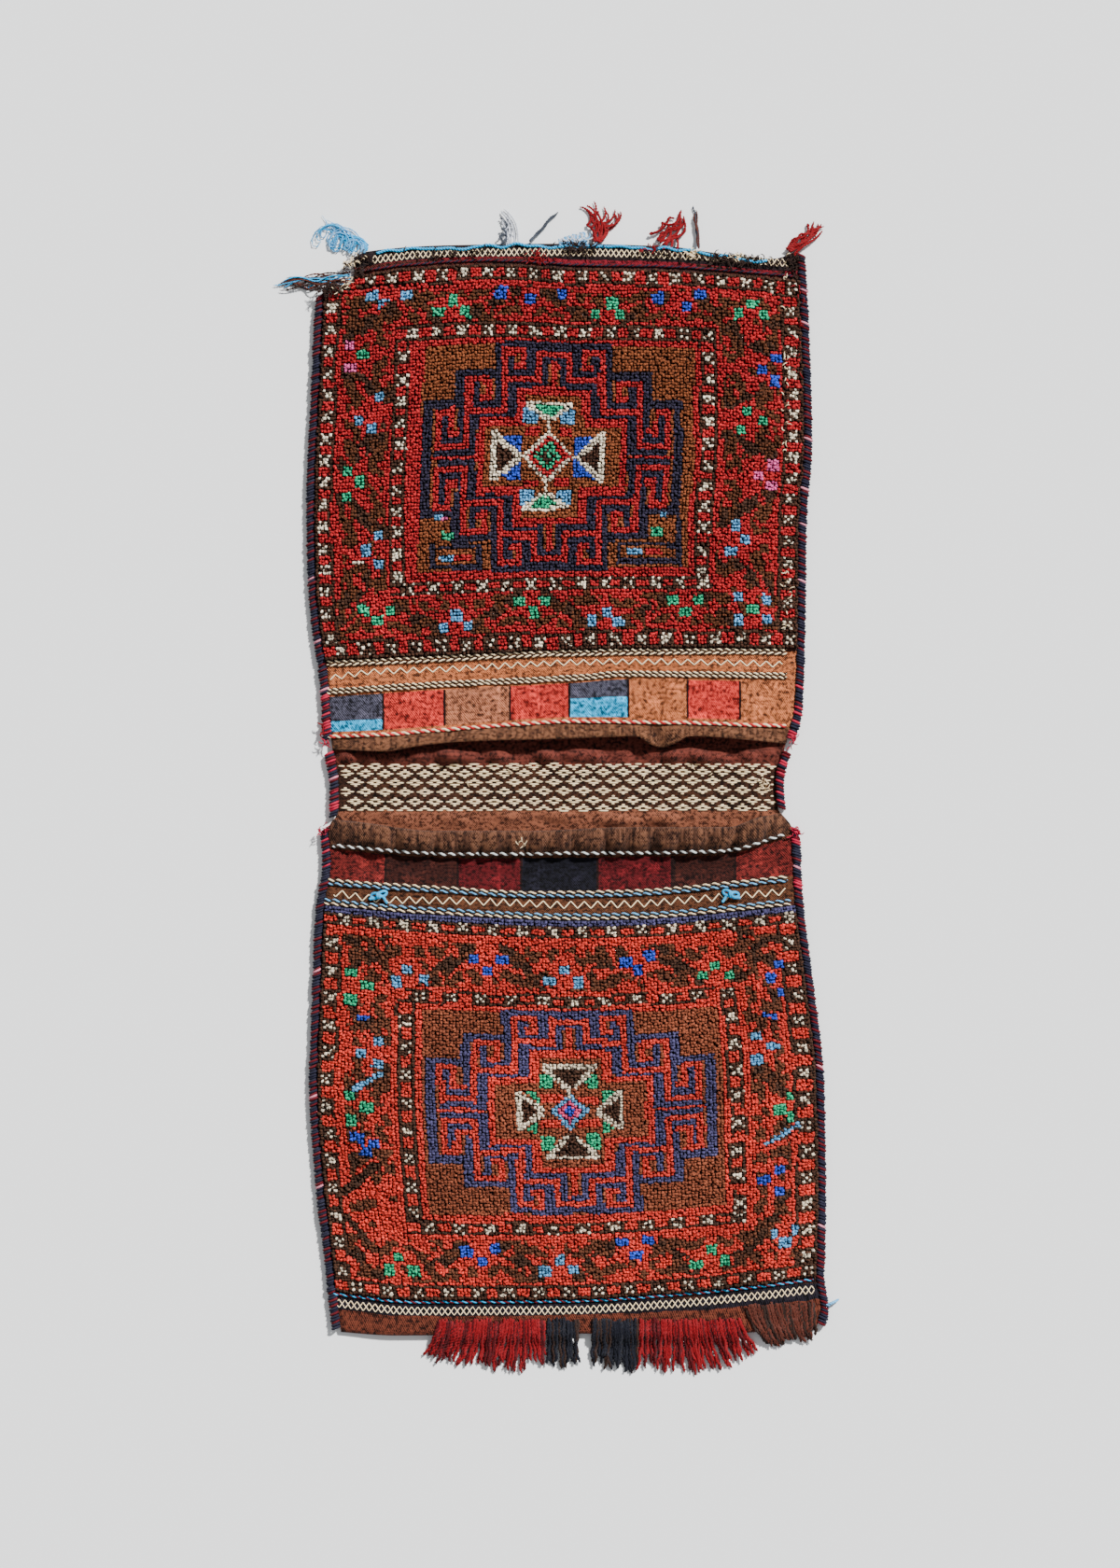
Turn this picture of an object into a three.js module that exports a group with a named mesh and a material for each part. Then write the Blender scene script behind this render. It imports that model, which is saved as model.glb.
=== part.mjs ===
// A khorjin: a double saddle bag of wool, woven as one long strip and folded at both ends.
// It lies flat and empty. +X runs across it, +Y towards the upper pouch, and z = 0 is the
// flat underside of its back. Lengths are in millimetres.
import * as THREE from "three";

// Driving dimensions.
const backThickness = 3; // flat weave of the back and the bridge
const flatThickness = 4; // flat weave of a front, near its mouth and its fold
const pileThickness = 8; // knotted pile of a front, with its ground cloth
const pouchGap = 9; // clear height inside a pouch
const foldGap = 4; // clear height at a folded end
const seamGap = 0.8; // clear height where front and back are sewn together
const seamReach = 60; // how far in from a sewn side the front rises to its full height
const foldReach = 60; // how far in from a fold the front rises to its full height
const mouthBand = 102; // flat-woven band of a front, measured from its lip
const bandRamp = 8; // length over which the flat weave becomes pile
const restGap = 0.8; // air under a cord or bow that lies on a front
const sewnGap = 2; // air between a cloth edge and its binding
const bindingRadius = 4.5; // overcast side binding
const cordRadius = 2.5; // twined cord of two yarn pairs
const hemRadius = 2; // twined cord of a hem, and the yarn on the top fold
const acrossSteps = 12; // steps across the woven body
const foldRadius = (backThickness + foldGap + flatThickness) / 2;

// The two pouches: nominal place of the fold and the lip, and the flat band at the fold.
const upperPouch = { fold: 583, lip: 50, foldBand: 40, way: 1 };
const lowerPouch = { fold: -586, lip: -44, foldBand: 62, way: -1 };

// A value that follows guide points, eased from one point to the next.
function guide(points) {
  const sorted = [...points].sort((a, b) => a[0] - b[0]);
  return (at) => {
    if (at <= sorted[0][0]) return sorted[0][1];
    for (let i = 1; i < sorted.length; i += 1) {
      const [x0, y0] = sorted[i - 1];
      const [x1, y1] = sorted[i];
      if (at <= x1) {
        return THREE.MathUtils.lerp(y0, y1, THREE.MathUtils.smoothstep(at, x0, x1));
      }
    }
    return sorted[sorted.length - 1][1];
  };
}

// Folds and lips as y over x: the cloth is hand-woven, so none of them is straight.
const foldTop = guide([
  [-229, 563], [-202, 576], [-126, 582], [0, 584], [119, 581], [170, 574], [231, 568], [262, 577],
]);
const foldBottom = guide([[-239, -584], [-174, -588], [0, -586], [150, -586], [268, -582]]);
const lipTop = guide([
  [-250, 41], [-188, 39], [-139, 46], [-89, 50], [-7, 52], [85, 55], [112, 42], [140, 55], [250, 47],
]);
const lipBottom = guide([
  [-243, -34], [-201, -39], [-135, -47], [-28, -47], [82, -43], [181, -43], [220, -32], [244, -27],
]);

// Outer sides of the bag as x over y, bindings included. The upper left corner is torn away.
const leftSide = guide([
  [575, -228], [540, -229], [534, -260], [424, -266], [301, -271], [214, -269], [105, -256],
  [50, -253], [0, -246], [-25, -246], [-44, -256], [-82, -254], [-130, -261], [-253, -266],
  [-311, -268], [-426, -261], [-492, -253], [-550, -247], [-585, -243],
]);
const rightSide = guide([
  [579, 268], [510, 272], [373, 276], [281, 270], [184, 269], [86, 266], [46, 256], [6, 246],
  [-22, 248], [-43, 262], [-115, 266], [-206, 277], [-315, 289], [-436, 291], [-498, 290],
  [-520, 289], [-560, 294], [-585, 287],
]);
const sideInset = 2 * bindingRadius + sewnGap;
const leftEdge = (y) => leftSide(y) + sideInset;
const rightEdge = (y) => rightSide(y) - sideInset;

// Clear height under a front at a distance from its fold.
function gapAt(fromFold) {
  const rise = THREE.MathUtils.smoothstep(fromFold, foldRadius, foldReach);
  return THREE.MathUtils.lerp(foldGap, pouchGap, rise);
}

// Thickness of a front, between its lip and its fold.
function thicknessAt(fromLip, fromFold, foldBand) {
  const inFromMouth = THREE.MathUtils.smoothstep(fromLip, mouthBand, mouthBand + bandRamp);
  const inFromFold = THREE.MathUtils.smoothstep(fromFold, foldBand, foldBand + bandRamp);
  return THREE.MathUtils.lerp(flatThickness, pileThickness, inFromMouth * inFromFold);
}

// How much lower a front lies near its sewn sides.
function seamDrop(x, y, gap) {
  const fromSide = Math.min(x - leftEdge(y), rightEdge(y) - x);
  return (1 - THREE.MathUtils.smoothstep(fromSide, -1, seamReach)) * (gap - seamGap);
}

// Height of a front's upper surface.
function frontHeight(pouch, x, y) {
  const fold = pouch === upperPouch ? foldTop(x) : foldBottom(x);
  const lip = pouch === upperPouch ? lipTop(x) : lipBottom(x);
  const fromFold = Math.abs(fold - y);
  const gap = gapAt(fromFold);
  const thickness = thicknessAt(Math.abs(y - lip), fromFold, pouch.foldBand);
  return backThickness + gap + thickness - seamDrop(x, y, gap);
}

// A station of the strip is a cut through the cloth: a point on its outer face and one on its
// inner face, each as [y, z].

// The half circle of a fold, given as angles from its upper end to its lower end.
function foldStations(pouch) {
  const centre = pouch.fold - pouch.way * foldRadius;
  const innerHeight = backThickness + foldGap / 2;
  return [60, 30, 0, -30, -60].map((degrees) => {
    const angle = THREE.MathUtils.degToRad(degrees);
    const arc = (radius, height) => [
      centre + pouch.way * radius * Math.cos(angle),
      height + radius * Math.sin(angle),
    ];
    return [arc(foldRadius, foldRadius), arc(foldGap / 2, innerHeight)];
  });
}

// One front, from its lip to its fold.
function frontStations(pouch) {
  const length = Math.abs(pouch.fold - pouch.lip);
  const bandEnd = length - pouch.foldBand;
  const fromLips = [
    0, 30, 66, mouthBand, mouthBand + bandRamp, 160, 220, 280, 340, 400, 440,
    bandEnd - bandRamp, bandEnd, length - 26, length - foldRadius,
  ];
  return fromLips.map((fromLip) => {
    const y = pouch.lip + pouch.way * fromLip;
    const ceiling = backThickness + gapAt(length - fromLip);
    const thickness = thicknessAt(fromLip, length - fromLip, pouch.foldBand);
    return [[y, ceiling + thickness], [y, ceiling]];
  });
}

// The whole strip: upper front, upper fold, back, lower fold, lower front.
function stripStations() {
  const backRows = [
    577.5, 540, 534, 510, 465, 420, 373, 330, 281, 230, 184, 140, 86, 46, 6, -22, -42, -82,
    -130, -190, -250, -310, -370, -430, -490, -520, -550, -580.5,
  ];
  return [
    ...frontStations(upperPouch),
    ...foldStations(upperPouch),
    ...backRows.map((y) => [[y, 0], [y, backThickness]]),
    ...foldStations(lowerPouch).reverse(),
    ...frontStations(lowerPouch).reverse(),
  ];
}

// Places one nominal point of the strip: across by t from 0 to 1, along by y, up by z.
function placeOnStrip(t, y, z) {
  const across = (1 - Math.cos(Math.PI * t)) / 2;
  const xNominal = THREE.MathUtils.lerp(leftEdge(y), rightEdge(y), across);
  const pouch = y > 0 ? upperPouch : lowerPouch;
  const fold = pouch === upperPouch ? foldTop(xNominal) : foldBottom(xNominal);
  const lip = pouch === upperPouch ? lipTop(xNominal) : lipBottom(xNominal);
  const onFront = z > backThickness + 0.1;
  const yPlaced = onFront
    ? THREE.MathUtils.mapLinear(y, pouch.lip, pouch.fold, lip, fold)
    : (y * fold) / pouch.fold;
  const x = THREE.MathUtils.lerp(leftEdge(yPlaced), rightEdge(yPlaced), across);
  const gap = gapAt(Math.abs(fold - yPlaced));
  const lifted = THREE.MathUtils.clamp((z - backThickness) / gap, 0, 1);
  return [x, yPlaced, z - lifted * seamDrop(x, yPlaced, gap)];
}

const wool = (color, roughness = 0.95) =>
  new THREE.MeshStandardMaterial({ color, roughness, metalness: 0 });

const bag = new THREE.Group();

function addPiece(name, geometry, material) {
  const mesh = new THREE.Mesh(geometry, material);
  mesh.name = name;
  bag.add(mesh);
  return mesh;
}

// A flat box, bent along the stations of the strip: its width runs across the bag, its height
// along the strip and its depth through the cloth.
function wovenBody() {
  const rows = stripStations();
  const geometry = new THREE.BoxGeometry(1, 1, 1, acrossSteps, rows.length - 1, 1);
  const position = geometry.getAttribute("position");
  for (let i = 0; i < position.count; i += 1) {
    const row = rows[Math.round((position.getY(i) + 0.5) * (rows.length - 1))];
    const [y, z] = position.getZ(i) > 0 ? row[0] : row[1];
    position.setXYZ(i, ...placeOnStrip(position.getX(i) + 0.5, y, z));
  }
  return geometry;
}

addPiece("woven_body", wovenBody(), wool(0x8e2f28));

// A round yarn carried along points.
function yarn(points, radius, sides, steps) {
  const section = new THREE.Shape();
  section.absarc(0, 0, radius, 0, 2 * Math.PI, false);
  const path = new THREE.CatmullRomCurve3(points.map((p) => new THREE.Vector3(...p)));
  const options = { extrudePath: path, steps, bevelEnabled: false, curveSegments: sides / 2 };
  return new THREE.ExtrudeGeometry(section, options);
}

// Side bindings: overcast yarn round the cloth edges, resting on the ground.
function binding(side, from, to) {
  const outer = side < 0 ? leftSide : rightSide;
  const pieces = Math.max(2, Math.round(Math.abs(to - from) / 25));
  const points = [];
  for (let i = 0; i <= pieces; i += 1) {
    const y = THREE.MathUtils.lerp(from, to, i / pieces);
    points.push([outer(y) - side * bindingRadius, y, bindingRadius]);
  }
  return yarn(points, bindingRadius, 8, pieces);
}

const bindingWool = wool(0x5a1a22);
addPiece("upper_left_binding", binding(-1, 528, 52), bindingWool.clone());
addPiece("upper_right_binding", binding(1, 572, 52), bindingWool.clone());
addPiece("bridge_left_binding", binding(-1, 38, -30), bindingWool.clone());
addPiece("bridge_right_binding", binding(1, 38, -22), bindingWool.clone());
addPiece("lower_left_binding", binding(-1, -44, -580), bindingWool.clone());
addPiece("lower_right_binding", binding(1, -44, -576), bindingWool.clone());

// Twined cords across the fronts, as y over x.
const cordInset = 6; // how far a cord ends inside the cloth edge
function crossCord(pouch, line, radius) {
  const rough = line(0);
  const from = leftEdge(rough) + cordInset;
  const to = rightEdge(rough) - cordInset;
  const steps = 16;
  const points = [];
  for (let i = 0; i <= steps; i += 1) {
    const x = THREE.MathUtils.lerp(from, to, (1 - Math.cos((Math.PI * i) / steps)) / 2);
    const y = line(x);
    points.push([x, y, frontHeight(pouch, x, y) + restGap + radius]);
  }
  return yarn(points, radius, 6, steps);
}

const cords = [
  ["upper_hem_cord", upperPouch, hemRadius, 0x5c2434,
    [[-210, 554], [-164, 560], [-68, 565], [30, 560], [97, 559], [253, 549]]],
  ["upper_outer_band_cord", upperPouch, cordRadius, 0xb9a58c,
    [[-248, 133], [-149, 137], [10, 144], [151, 146], [258, 146]]],
  ["upper_inner_band_cord", upperPouch, cordRadius, 0xb9a58c,
    [[-248, 103], [-119, 111], [23, 118], [72, 122], [250, 120]]],
  ["upper_mouth_cord", upperPouch, cordRadius, 0xc07a68,
    [[-246, 55], [-188, 57], [-109, 63], [23, 71], [112, 70], [250, 66]]],
  ["lower_mouth_cord", lowerPouch, hemRadius, 0xe0d2b8,
    [[-239, -62], [-105, -71], [23, -70], [171, -68], [246, -50]]],
  ["lower_inner_band_cord", lowerPouch, cordRadius, 0xb8c4cc,
    [[-243, -101], [-105, -110], [-28, -114], [62, -113], [250, -97]]],
  ["lower_outer_band_cord", lowerPouch, cordRadius, 0x9dbad0,
    [[-248, -122], [-143, -131], [23, -138], [82, -137], [256, -122]]],
  ["lower_hem_cord", lowerPouch, hemRadius, 0x3aa0c4,
    [[-237, -543], [-143, -551], [3, -550], [125, -543], [278, -527]]],
];
for (const [name, pouch, radius, color, points] of cords) {
  addPiece(name, crossCord(pouch, guide(points), radius), wool(color));
}

// The light-blue yarn laid along the top fold.
function topEdgeYarn() {
  const fromFold = foldRadius + hemRadius;
  const points = [];
  for (let x = -194; x <= 242; x += 30) {
    const y = foldTop(x) - fromFold;
    points.push([x, y, frontHeight(upperPouch, x, y) + restGap + hemRadius]);
  }
  return yarn(points, hemRadius, 6, points.length);
}
addPiece("top_edge_yarn", topEdgeYarn(), wool(0x3f9dc8));

// A bunch of fringe yarns in side view: from the front, over the fold and out on the ground.
function fringeOutline(startInside, reach) {
  const inner = [];
  for (let fromFold = startInside; fromFold > foldRadius; fromFold -= 6) {
    inner.push([-fromFold, backThickness + gapAt(fromFold) + flatThickness + restGap]);
  }
  for (const degrees of [90, 60, 30, 0]) {
    const angle = THREE.MathUtils.degToRad(degrees);
    const radius = foldRadius + restGap;
    inner.push([radius * Math.cos(angle) - foldRadius, foldRadius + radius * Math.sin(angle)]);
  }
  inner.push([restGap, 0]);
  const first = inner[0];
  return [...inner, [reach, 0], [reach, 3.5], [0.45 * reach, 6], [0.3 * reach, 10],
    [2, 14], [-6, 16.5], [first[0], first[1] + 4]];
}

// Carries the side view from x0 to x1, spreads its tips sideways and varies their reach.
function fringe(x0, x1, startInside, reach, spreadLeft, spreadRight, reachAt) {
  const points = fringeOutline(startInside, reach).map(([u, z]) => new THREE.Vector2(u, z));
  const shape = new THREE.Shape(points);
  const geometry = new THREE.ExtrudeGeometry(shape, { depth: 1, steps: 6, bevelEnabled: false });
  const position = geometry.getAttribute("position");
  for (let i = 0; i < position.count; i += 1) {
    const outward = position.getX(i);
    const height = position.getY(i);
    const t = 1 - position.getZ(i);
    const out = Math.max(0, outward - restGap) / reach;
    const spread = THREE.MathUtils.lerp(-spreadLeft, spreadRight, t) * out;
    const x = THREE.MathUtils.lerp(x0, x1, t);
    const y = foldBottom(x) - outward - out * (reachAt(t) - reach);
    position.setXYZ(i, x + spread, y, height);
  }
  return geometry;
}

const redYarn = 0xb03028;
const navyYarn = 0x2b2d48;
const brownYarn = 0x5a3a28;
const fringeStart = 17; // how far inside the fold the bunches begin
addPiece("fringe_red_left",
  fringe(-130, -12, fringeStart, 38, 17, 0, guide([[0, 20], [0.5, 34], [1, 38]])), wool(redYarn));
addPiece("fringe_navy_left",
  fringe(-11, 23, fringeStart, 33, 0, 2, guide([[0, 36], [1, 31]])), wool(navyYarn));
addPiece("fringe_navy_right",
  fringe(37, 87, fringeStart, 40, 2, 0, guide([[0, 36], [1, 41]])), wool(navyYarn));
addPiece("fringe_red_right",
  fringe(88, 197, fringeStart, 42, 0, 18, guide([[0, 38], [0.5, 44], [1, 24]])), wool(redYarn));
addPiece("fringe_brown_right",
  fringe(201, 276, 30, 14, -14, 4, guide([[0, 12], [0.6, 16], [1, 8]])), wool(brownYarn));

// Tufts and loose yarns lie on the ground outside the cloth. Each is turned on its own axis,
// a spindle or an open fan, and pressed flat.
const spindle = [[0, 0], [0.3, 0], [0.5, 0.25], [0.42, 0.6], [0.2, 0.9], [0, 1]];
const fan = [[0, 0], [0.16, 0], [0.28, 0.4], [0.5, 0.85], [0.4, 1], [0, 1]];
function tuft(name, base, tip, width, height, form, color) {
  const length = Math.hypot(tip[0] - base[0], tip[1] - base[1]);
  const profile = form.map(([r, h]) => new THREE.Vector2(r * width, h * length));
  const geometry = new THREE.LatheGeometry(profile, 8);
  geometry.scale(1, 1, height / width);
  const mesh = addPiece(name, geometry, wool(color));
  mesh.position.set(base[0], base[1], height / 2 + 0.2);
  mesh.rotation.z = Math.atan2(-(tip[0] - base[0]), tip[1] - base[1]);
}
tuft("blue_thread_tangle", [-208, 588], [-262, 592], 22, 8, spindle, 0x5aa6d0);
tuft("corner_knot", [-243, 549], [-306, 541], 14, 8, spindle, 0x54483c);
tuft("grey_tuft", [-50, 586], [-60, 619], 20, 7, spindle, 0x5f6670);
tuft("slate_strand", [-30, 590], [7, 627], 4, 3, spindle, 0x55606e);
tuft("pale_lump", [2, 591], [36, 592], 11, 8, spindle, 0x93a3b8);
tuft("red_tuft_middle", [42, 587], [50, 627], 42, 7, fan, redYarn);
tuft("red_tuft_flat", [116, 584], [139, 617], 22, 7, spindle, redYarn);
tuft("brown_strand", [151, 580], [149, 629], 4, 3, spindle, brownYarn);
tuft("red_tuft_right", [250, 578], [285, 609], 12, 7, spindle, redYarn);
tuft("corner_yarn_end", [297.6, -553], [306, -547], 4, 3, spindle, 0x3aa0c4);

// Two bows of light-blue yarn, knotted between the two band cords of the lower pouch.
function bow(name, x, y) {
  const height = 3;
  const geometry = new THREE.SphereGeometry(1, 12, 6);
  geometry.rotateX(Math.PI / 2);
  geometry.scale(15, 6, height);
  const mesh = addPiece(name, geometry, wool(0x6aa9d4));
  mesh.position.set(x, y, frontHeight(lowerPouch, x, y) + restGap + height);
}
bow("left_bow", -191, -115);
bow("right_bow", 186, -114);

export default bag;
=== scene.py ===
import bpy
import numpy as np
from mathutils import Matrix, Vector


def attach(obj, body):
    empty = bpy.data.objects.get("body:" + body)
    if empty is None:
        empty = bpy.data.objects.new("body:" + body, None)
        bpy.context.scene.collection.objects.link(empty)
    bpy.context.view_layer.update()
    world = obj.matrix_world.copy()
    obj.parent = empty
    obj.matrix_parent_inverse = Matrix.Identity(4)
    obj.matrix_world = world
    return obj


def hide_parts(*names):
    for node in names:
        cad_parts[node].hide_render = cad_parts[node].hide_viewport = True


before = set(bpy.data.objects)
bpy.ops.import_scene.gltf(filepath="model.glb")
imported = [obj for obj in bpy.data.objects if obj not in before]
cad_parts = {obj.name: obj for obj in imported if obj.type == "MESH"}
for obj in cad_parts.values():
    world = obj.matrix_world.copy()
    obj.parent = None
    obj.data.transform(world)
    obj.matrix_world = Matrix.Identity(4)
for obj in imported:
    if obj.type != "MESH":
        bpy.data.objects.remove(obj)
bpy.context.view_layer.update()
mm = 0.001  # the shapes below are worked out in millimetres
pi = np.pi


# 0 below start, 1 above end, and an even S between them
def smooth(x, start, end):
    t = np.clip((x - start) / (end - start), 0, 1)
    return t * t * (3 - 2 * t)


def mix(a, b, share):
    return a + (b - a) * share


# a value along guide points: cubic pieces that never overshoot. The slope at a point is the harmonic
# mean of the chords beside it, and level where they turn back.
def curveThrough(*points):
    at, value = np.array(sorted(points), float).T
    chord = np.diff(value) / np.diff(at)
    before, after = chord[:-1], chord[1:]
    same = before * after > 0
    inner = np.where(same, 2 * before * after / np.where(same, before + after, 1), 0)
    slope = np.concatenate([chord[:1], inner, chord[-1:]])

    def along(x):
        x = np.clip(x, at[0], at[-1])
        i = np.clip(np.searchsorted(at, x, side="right") - 1, 0, len(at) - 2)
        width = at[i + 1] - at[i]
        t = (x - at[i]) / width
        rise = (1 + 2 * t) * (1 - t) ** 2 * value[i] + t * t * (3 - 2 * t) * value[i + 1]
        return rise + width * t * (1 - t) * ((1 - t) * slope[i] - t * slope[i + 1])

    return along


waves = {"count": 9, "lengths": (0.7, 1.6), "spread": 4.2}  # spread brings their sum to about 1


# soft unevenness from about -1 to 1: the sum of sine waves in seeded directions
def ripple(x, y, wavelength, seed):
    draw = np.random.default_rng(seed)
    turns = draw.uniform(0, 2 * pi, waves["count"])
    lengths = draw.uniform(*waves["lengths"], waves["count"])
    phases = draw.uniform(0, 2 * pi, waves["count"])
    total = np.zeros(np.broadcast(x, y).shape)
    for turn, length, phase in zip(turns, lengths, phases):
        run = (x * np.cos(turn) + y * np.sin(turn)) / (wavelength * length)
        total += np.sin(2 * pi * run + phase)
    return total / waves["spread"]


def hexColour(text):
    parts = [int(text[i:i + 2], 16) / 255 for i in (0, 2, 4)]
    return tuple(c / 12.92 if c < 0.04045 else ((c + 0.055) / 1.055) ** 2.4 for c in parts)


# vertices in millimetres; faces is a list of index arrays, each with its own number of corners
def makePiece(name, vertices, faces, materials, slots=None, uv=None, dye=None):
    mesh = bpy.data.meshes.new(name)
    vertices = np.asarray(vertices, float).reshape(-1, 3) * mm
    corners = np.concatenate([f.ravel() for f in faces]).astype(np.int32)
    totals = np.concatenate([np.full(len(f), f.shape[1]) for f in faces]).astype(np.int32)
    starts = np.concatenate([[0], np.cumsum(totals)[:-1]]).astype(np.int32)
    mesh.vertices.add(len(vertices))
    mesh.vertices.foreach_set("co", vertices.astype(np.float32).ravel())
    mesh.loops.add(len(corners))
    mesh.loops.foreach_set("vertex_index", corners)
    mesh.polygons.add(len(totals))
    mesh.polygons.foreach_set("loop_start", starts)
    mesh.polygons.foreach_set("loop_total", totals)
    mesh.polygons.foreach_set("use_smooth", np.ones(len(totals), bool))
    for material in materials:
        mesh.materials.append(material)
    if slots is not None:
        mesh.polygons.foreach_set("material_index", np.concatenate(slots).astype(np.int32))
    if uv is not None:
        layer = mesh.uv_layers.new(name="cloth")
        layer.uv.foreach_set("vector", (np.asarray(uv)[corners] * mm).astype(np.float32).ravel())
    if dye is not None:
        layer = mesh.color_attributes.new("dye", "FLOAT_COLOR", "CORNER")
        layer.data.foreach_set("color", np.asarray(dye, np.float32).ravel())
    mesh.validate()
    mesh.update()
    piece = bpy.data.objects.new(name, mesh)
    bpy.context.collection.objects.link(piece)
    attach(piece, "root")
    return piece


# quads over a grid of vertex numbers, rows by columns
def gridFaces(index):
    a, b = index[:-1, :-1], index[:-1, 1:]
    c, d = index[1:, 1:], index[1:, :-1]
    return np.stack([a, b, c, d], -1).reshape(-1, 4)


def unit(v):
    return v / np.maximum(np.linalg.norm(v, axis=-1, keepdims=True), 1e-9)


# two directions across each path: the first is square to the path and to a reference
def acrossPath(paths, reference):
    tangent = unit(np.gradient(paths, axis=-2))
    first = unit(np.cross(tangent, reference))
    return first, np.cross(tangent, first)


tubeEnd = 0.45  # how far a tube narrows at its two ends


# closed tubes: round every path point a ring, centre + radius (cos a first + sin a second)
def tubes(paths, radius, sides=6, reference=(0, 0, 1)):
    paths = np.asarray(paths, float)
    count, steps, _ = paths.shape
    first, second = acrossPath(paths, reference)
    angle = np.arange(sides) * 2 * pi / sides
    ring = np.cos(angle)[:, None] * first[:, :, None] + np.sin(angle)[:, None] * second[:, :, None]
    size = np.broadcast_to(radius, (count, steps))
    taper = np.ones(steps)
    taper[[0, -1]] = tubeEnd
    points = paths[:, :, None] + (size * taper)[:, :, None, None] * ring
    index = np.arange(count * steps * sides).reshape(count, steps, sides)
    a, d = index[:, :-1], index[:, 1:]
    quads = np.stack([a, np.roll(a, -1, 2), np.roll(d, -1, 2), d], -1).reshape(count, -1, 4)
    caps = np.stack([index[:, 0, ::-1], index[:, -1]], 1)
    return points.reshape(-1, 3), quads, caps


# a strand wound round a path: path + lay (cos a first + sin a second), a turning with length
def wound(paths, lay, turnLength, phase, reference=(0, 0, 1)):
    step = np.linalg.norm(np.diff(paths, axis=-2), axis=-1)
    along = np.concatenate([np.zeros((len(paths), 1)), np.cumsum(step, 1)], 1)
    first, second = acrossPath(paths, reference)
    a = (2 * pi * along / turnLength + phase)[..., None]
    return paths + lay * (np.cos(a) * first + np.sin(a) * second)


# several sets of tubes in one piece, each set with its own material number
def yarnPiece(name, sets, materials, reference=(0, 0, 1)):
    allPoints, allFaces, allSlots, used = [], [], [], 0
    for entry in sets:
        points, quads, caps = tubes(entry["paths"], entry["radius"], entry.get("sides", 6),
                                    entry.get("reference", reference))
        wears = np.broadcast_to(entry["material"], len(quads))
        allFaces += [quads.reshape(-1, 4) + used, caps.reshape(-1, caps.shape[-1]) + used]
        allSlots += [np.repeat(wears, quads.shape[1]), np.repeat(wears, 2)]
        allPoints.append(points)
        used += len(points)
    return makePiece(name, np.concatenate(allPoints), allFaces, materials, allSlots)


# points spaced evenly along a polyline
def resample(points, count):
    points = np.asarray(points, float)
    step = np.linalg.norm(np.diff(points, axis=0), axis=1)
    along = np.concatenate([[0], np.cumsum(step)])
    at = np.linspace(0, along[-1], count)
    return np.stack([np.interp(at, along, points[:, k]) for k in range(3)], -1)


view = {"lens": 85, "frameHeight": 1.68, "centre": (0.003, 0.004), "height": 0.012, "far": 50}


def makeCamera():
    camera = bpy.data.objects.new("camera", bpy.data.cameras.new("camera"))
    camera.data.lens = view["lens"]
    away = view["frameHeight"] * view["lens"] / camera.data.sensor_width
    camera.location = (*view["centre"], view["height"] + away)
    camera.data.clip_end = view["far"]
    bpy.context.collection.objects.link(camera)
    bpy.context.scene.camera = camera


light = {
    "sun": 8.2, "sunAngle": 0.07, "sunFrom": (0.52, 0.70, 0.80), "sky": 0.5, "skyTint": (0.93, 0.96, 1, 1),
}


def makeLights():
    sun = bpy.data.objects.new("sun", bpy.data.lights.new("sun", "SUN"))
    sun.data.energy = light["sun"]
    sun.data.angle = light["sunAngle"]
    sun.rotation_euler = Vector(light["sunFrom"]).to_track_quat("Z", "Y").to_euler()
    bpy.context.collection.objects.link(sun)
    world = bpy.data.worlds.new("sky")
    world.use_nodes = True
    background = world.node_tree.nodes["Background"]
    background.inputs["Color"].default_value = light["skyTint"]
    background.inputs["Strength"].default_value = light["sky"]
    bpy.context.scene.world = world


ground = {"reach": 12, "drop": 0.0004, "colour": (0.86, 0.86, 0.855), "roughness": 0.9}  # in metres


def makeFloor():
    corners = np.array([(-1, -1, 0), (1, -1, 0), (1, 1, 0), (-1, 1, 0)], float) * ground["reach"]
    mesh = bpy.data.meshes.new("floor")
    mesh.from_pydata((corners - (0, 0, ground["drop"])).tolist(), [], [(0, 1, 2, 3)])
    floor = bpy.data.objects.new("floor", mesh)
    bpy.context.collection.objects.link(floor)
    paper = Paint("palePaper")
    paper.finish(ground["colour"], ground["roughness"])
    mesh.materials.append(paper.material)


gloss = {"sheen": 0.03, "sheenRoughness": 0.5, "specular": 0.12, "noiseRoughness": 0.6}


class Value:
    # a socket that can be added, taken away, multiplied, divided and compared
    def __init__(self, paint, socket):
        self.paint = paint
        self.socket = socket

    def maths(self, operation, *values):
        made = self.paint.node("ShaderNodeMath", {"operation": operation}, dict(enumerate(values)))
        return Value(self.paint, made.outputs[0])

    def __add__(self, other):
        return self.maths("ADD", self, other)

    def __radd__(self, other):
        return self.maths("ADD", other, self)

    def __sub__(self, other):
        return self.maths("SUBTRACT", self, other)

    def __rsub__(self, other):
        return self.maths("SUBTRACT", other, self)

    def __mul__(self, other):
        return self.maths("MULTIPLY", self, other)

    def __rmul__(self, other):
        return self.maths("MULTIPLY", other, self)

    def __truediv__(self, other):
        return self.maths("DIVIDE", self, other)

    def __gt__(self, other):
        return self.maths("GREATER_THAN", self, other)

    def __lt__(self, other):
        return self.maths("LESS_THAN", self, other)

    def between(self, low, high):
        return (self > low) * (self < high)

    def sine(self):
        return self.maths("SINE", self)

    def ramp(self, start, end):
        made = self.paint.node("ShaderNodeMapRange", {"clamp": True},
                               {"Value": self, "From Min": start, "From Max": end})
        return Value(self.paint, made.outputs[0])


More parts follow.
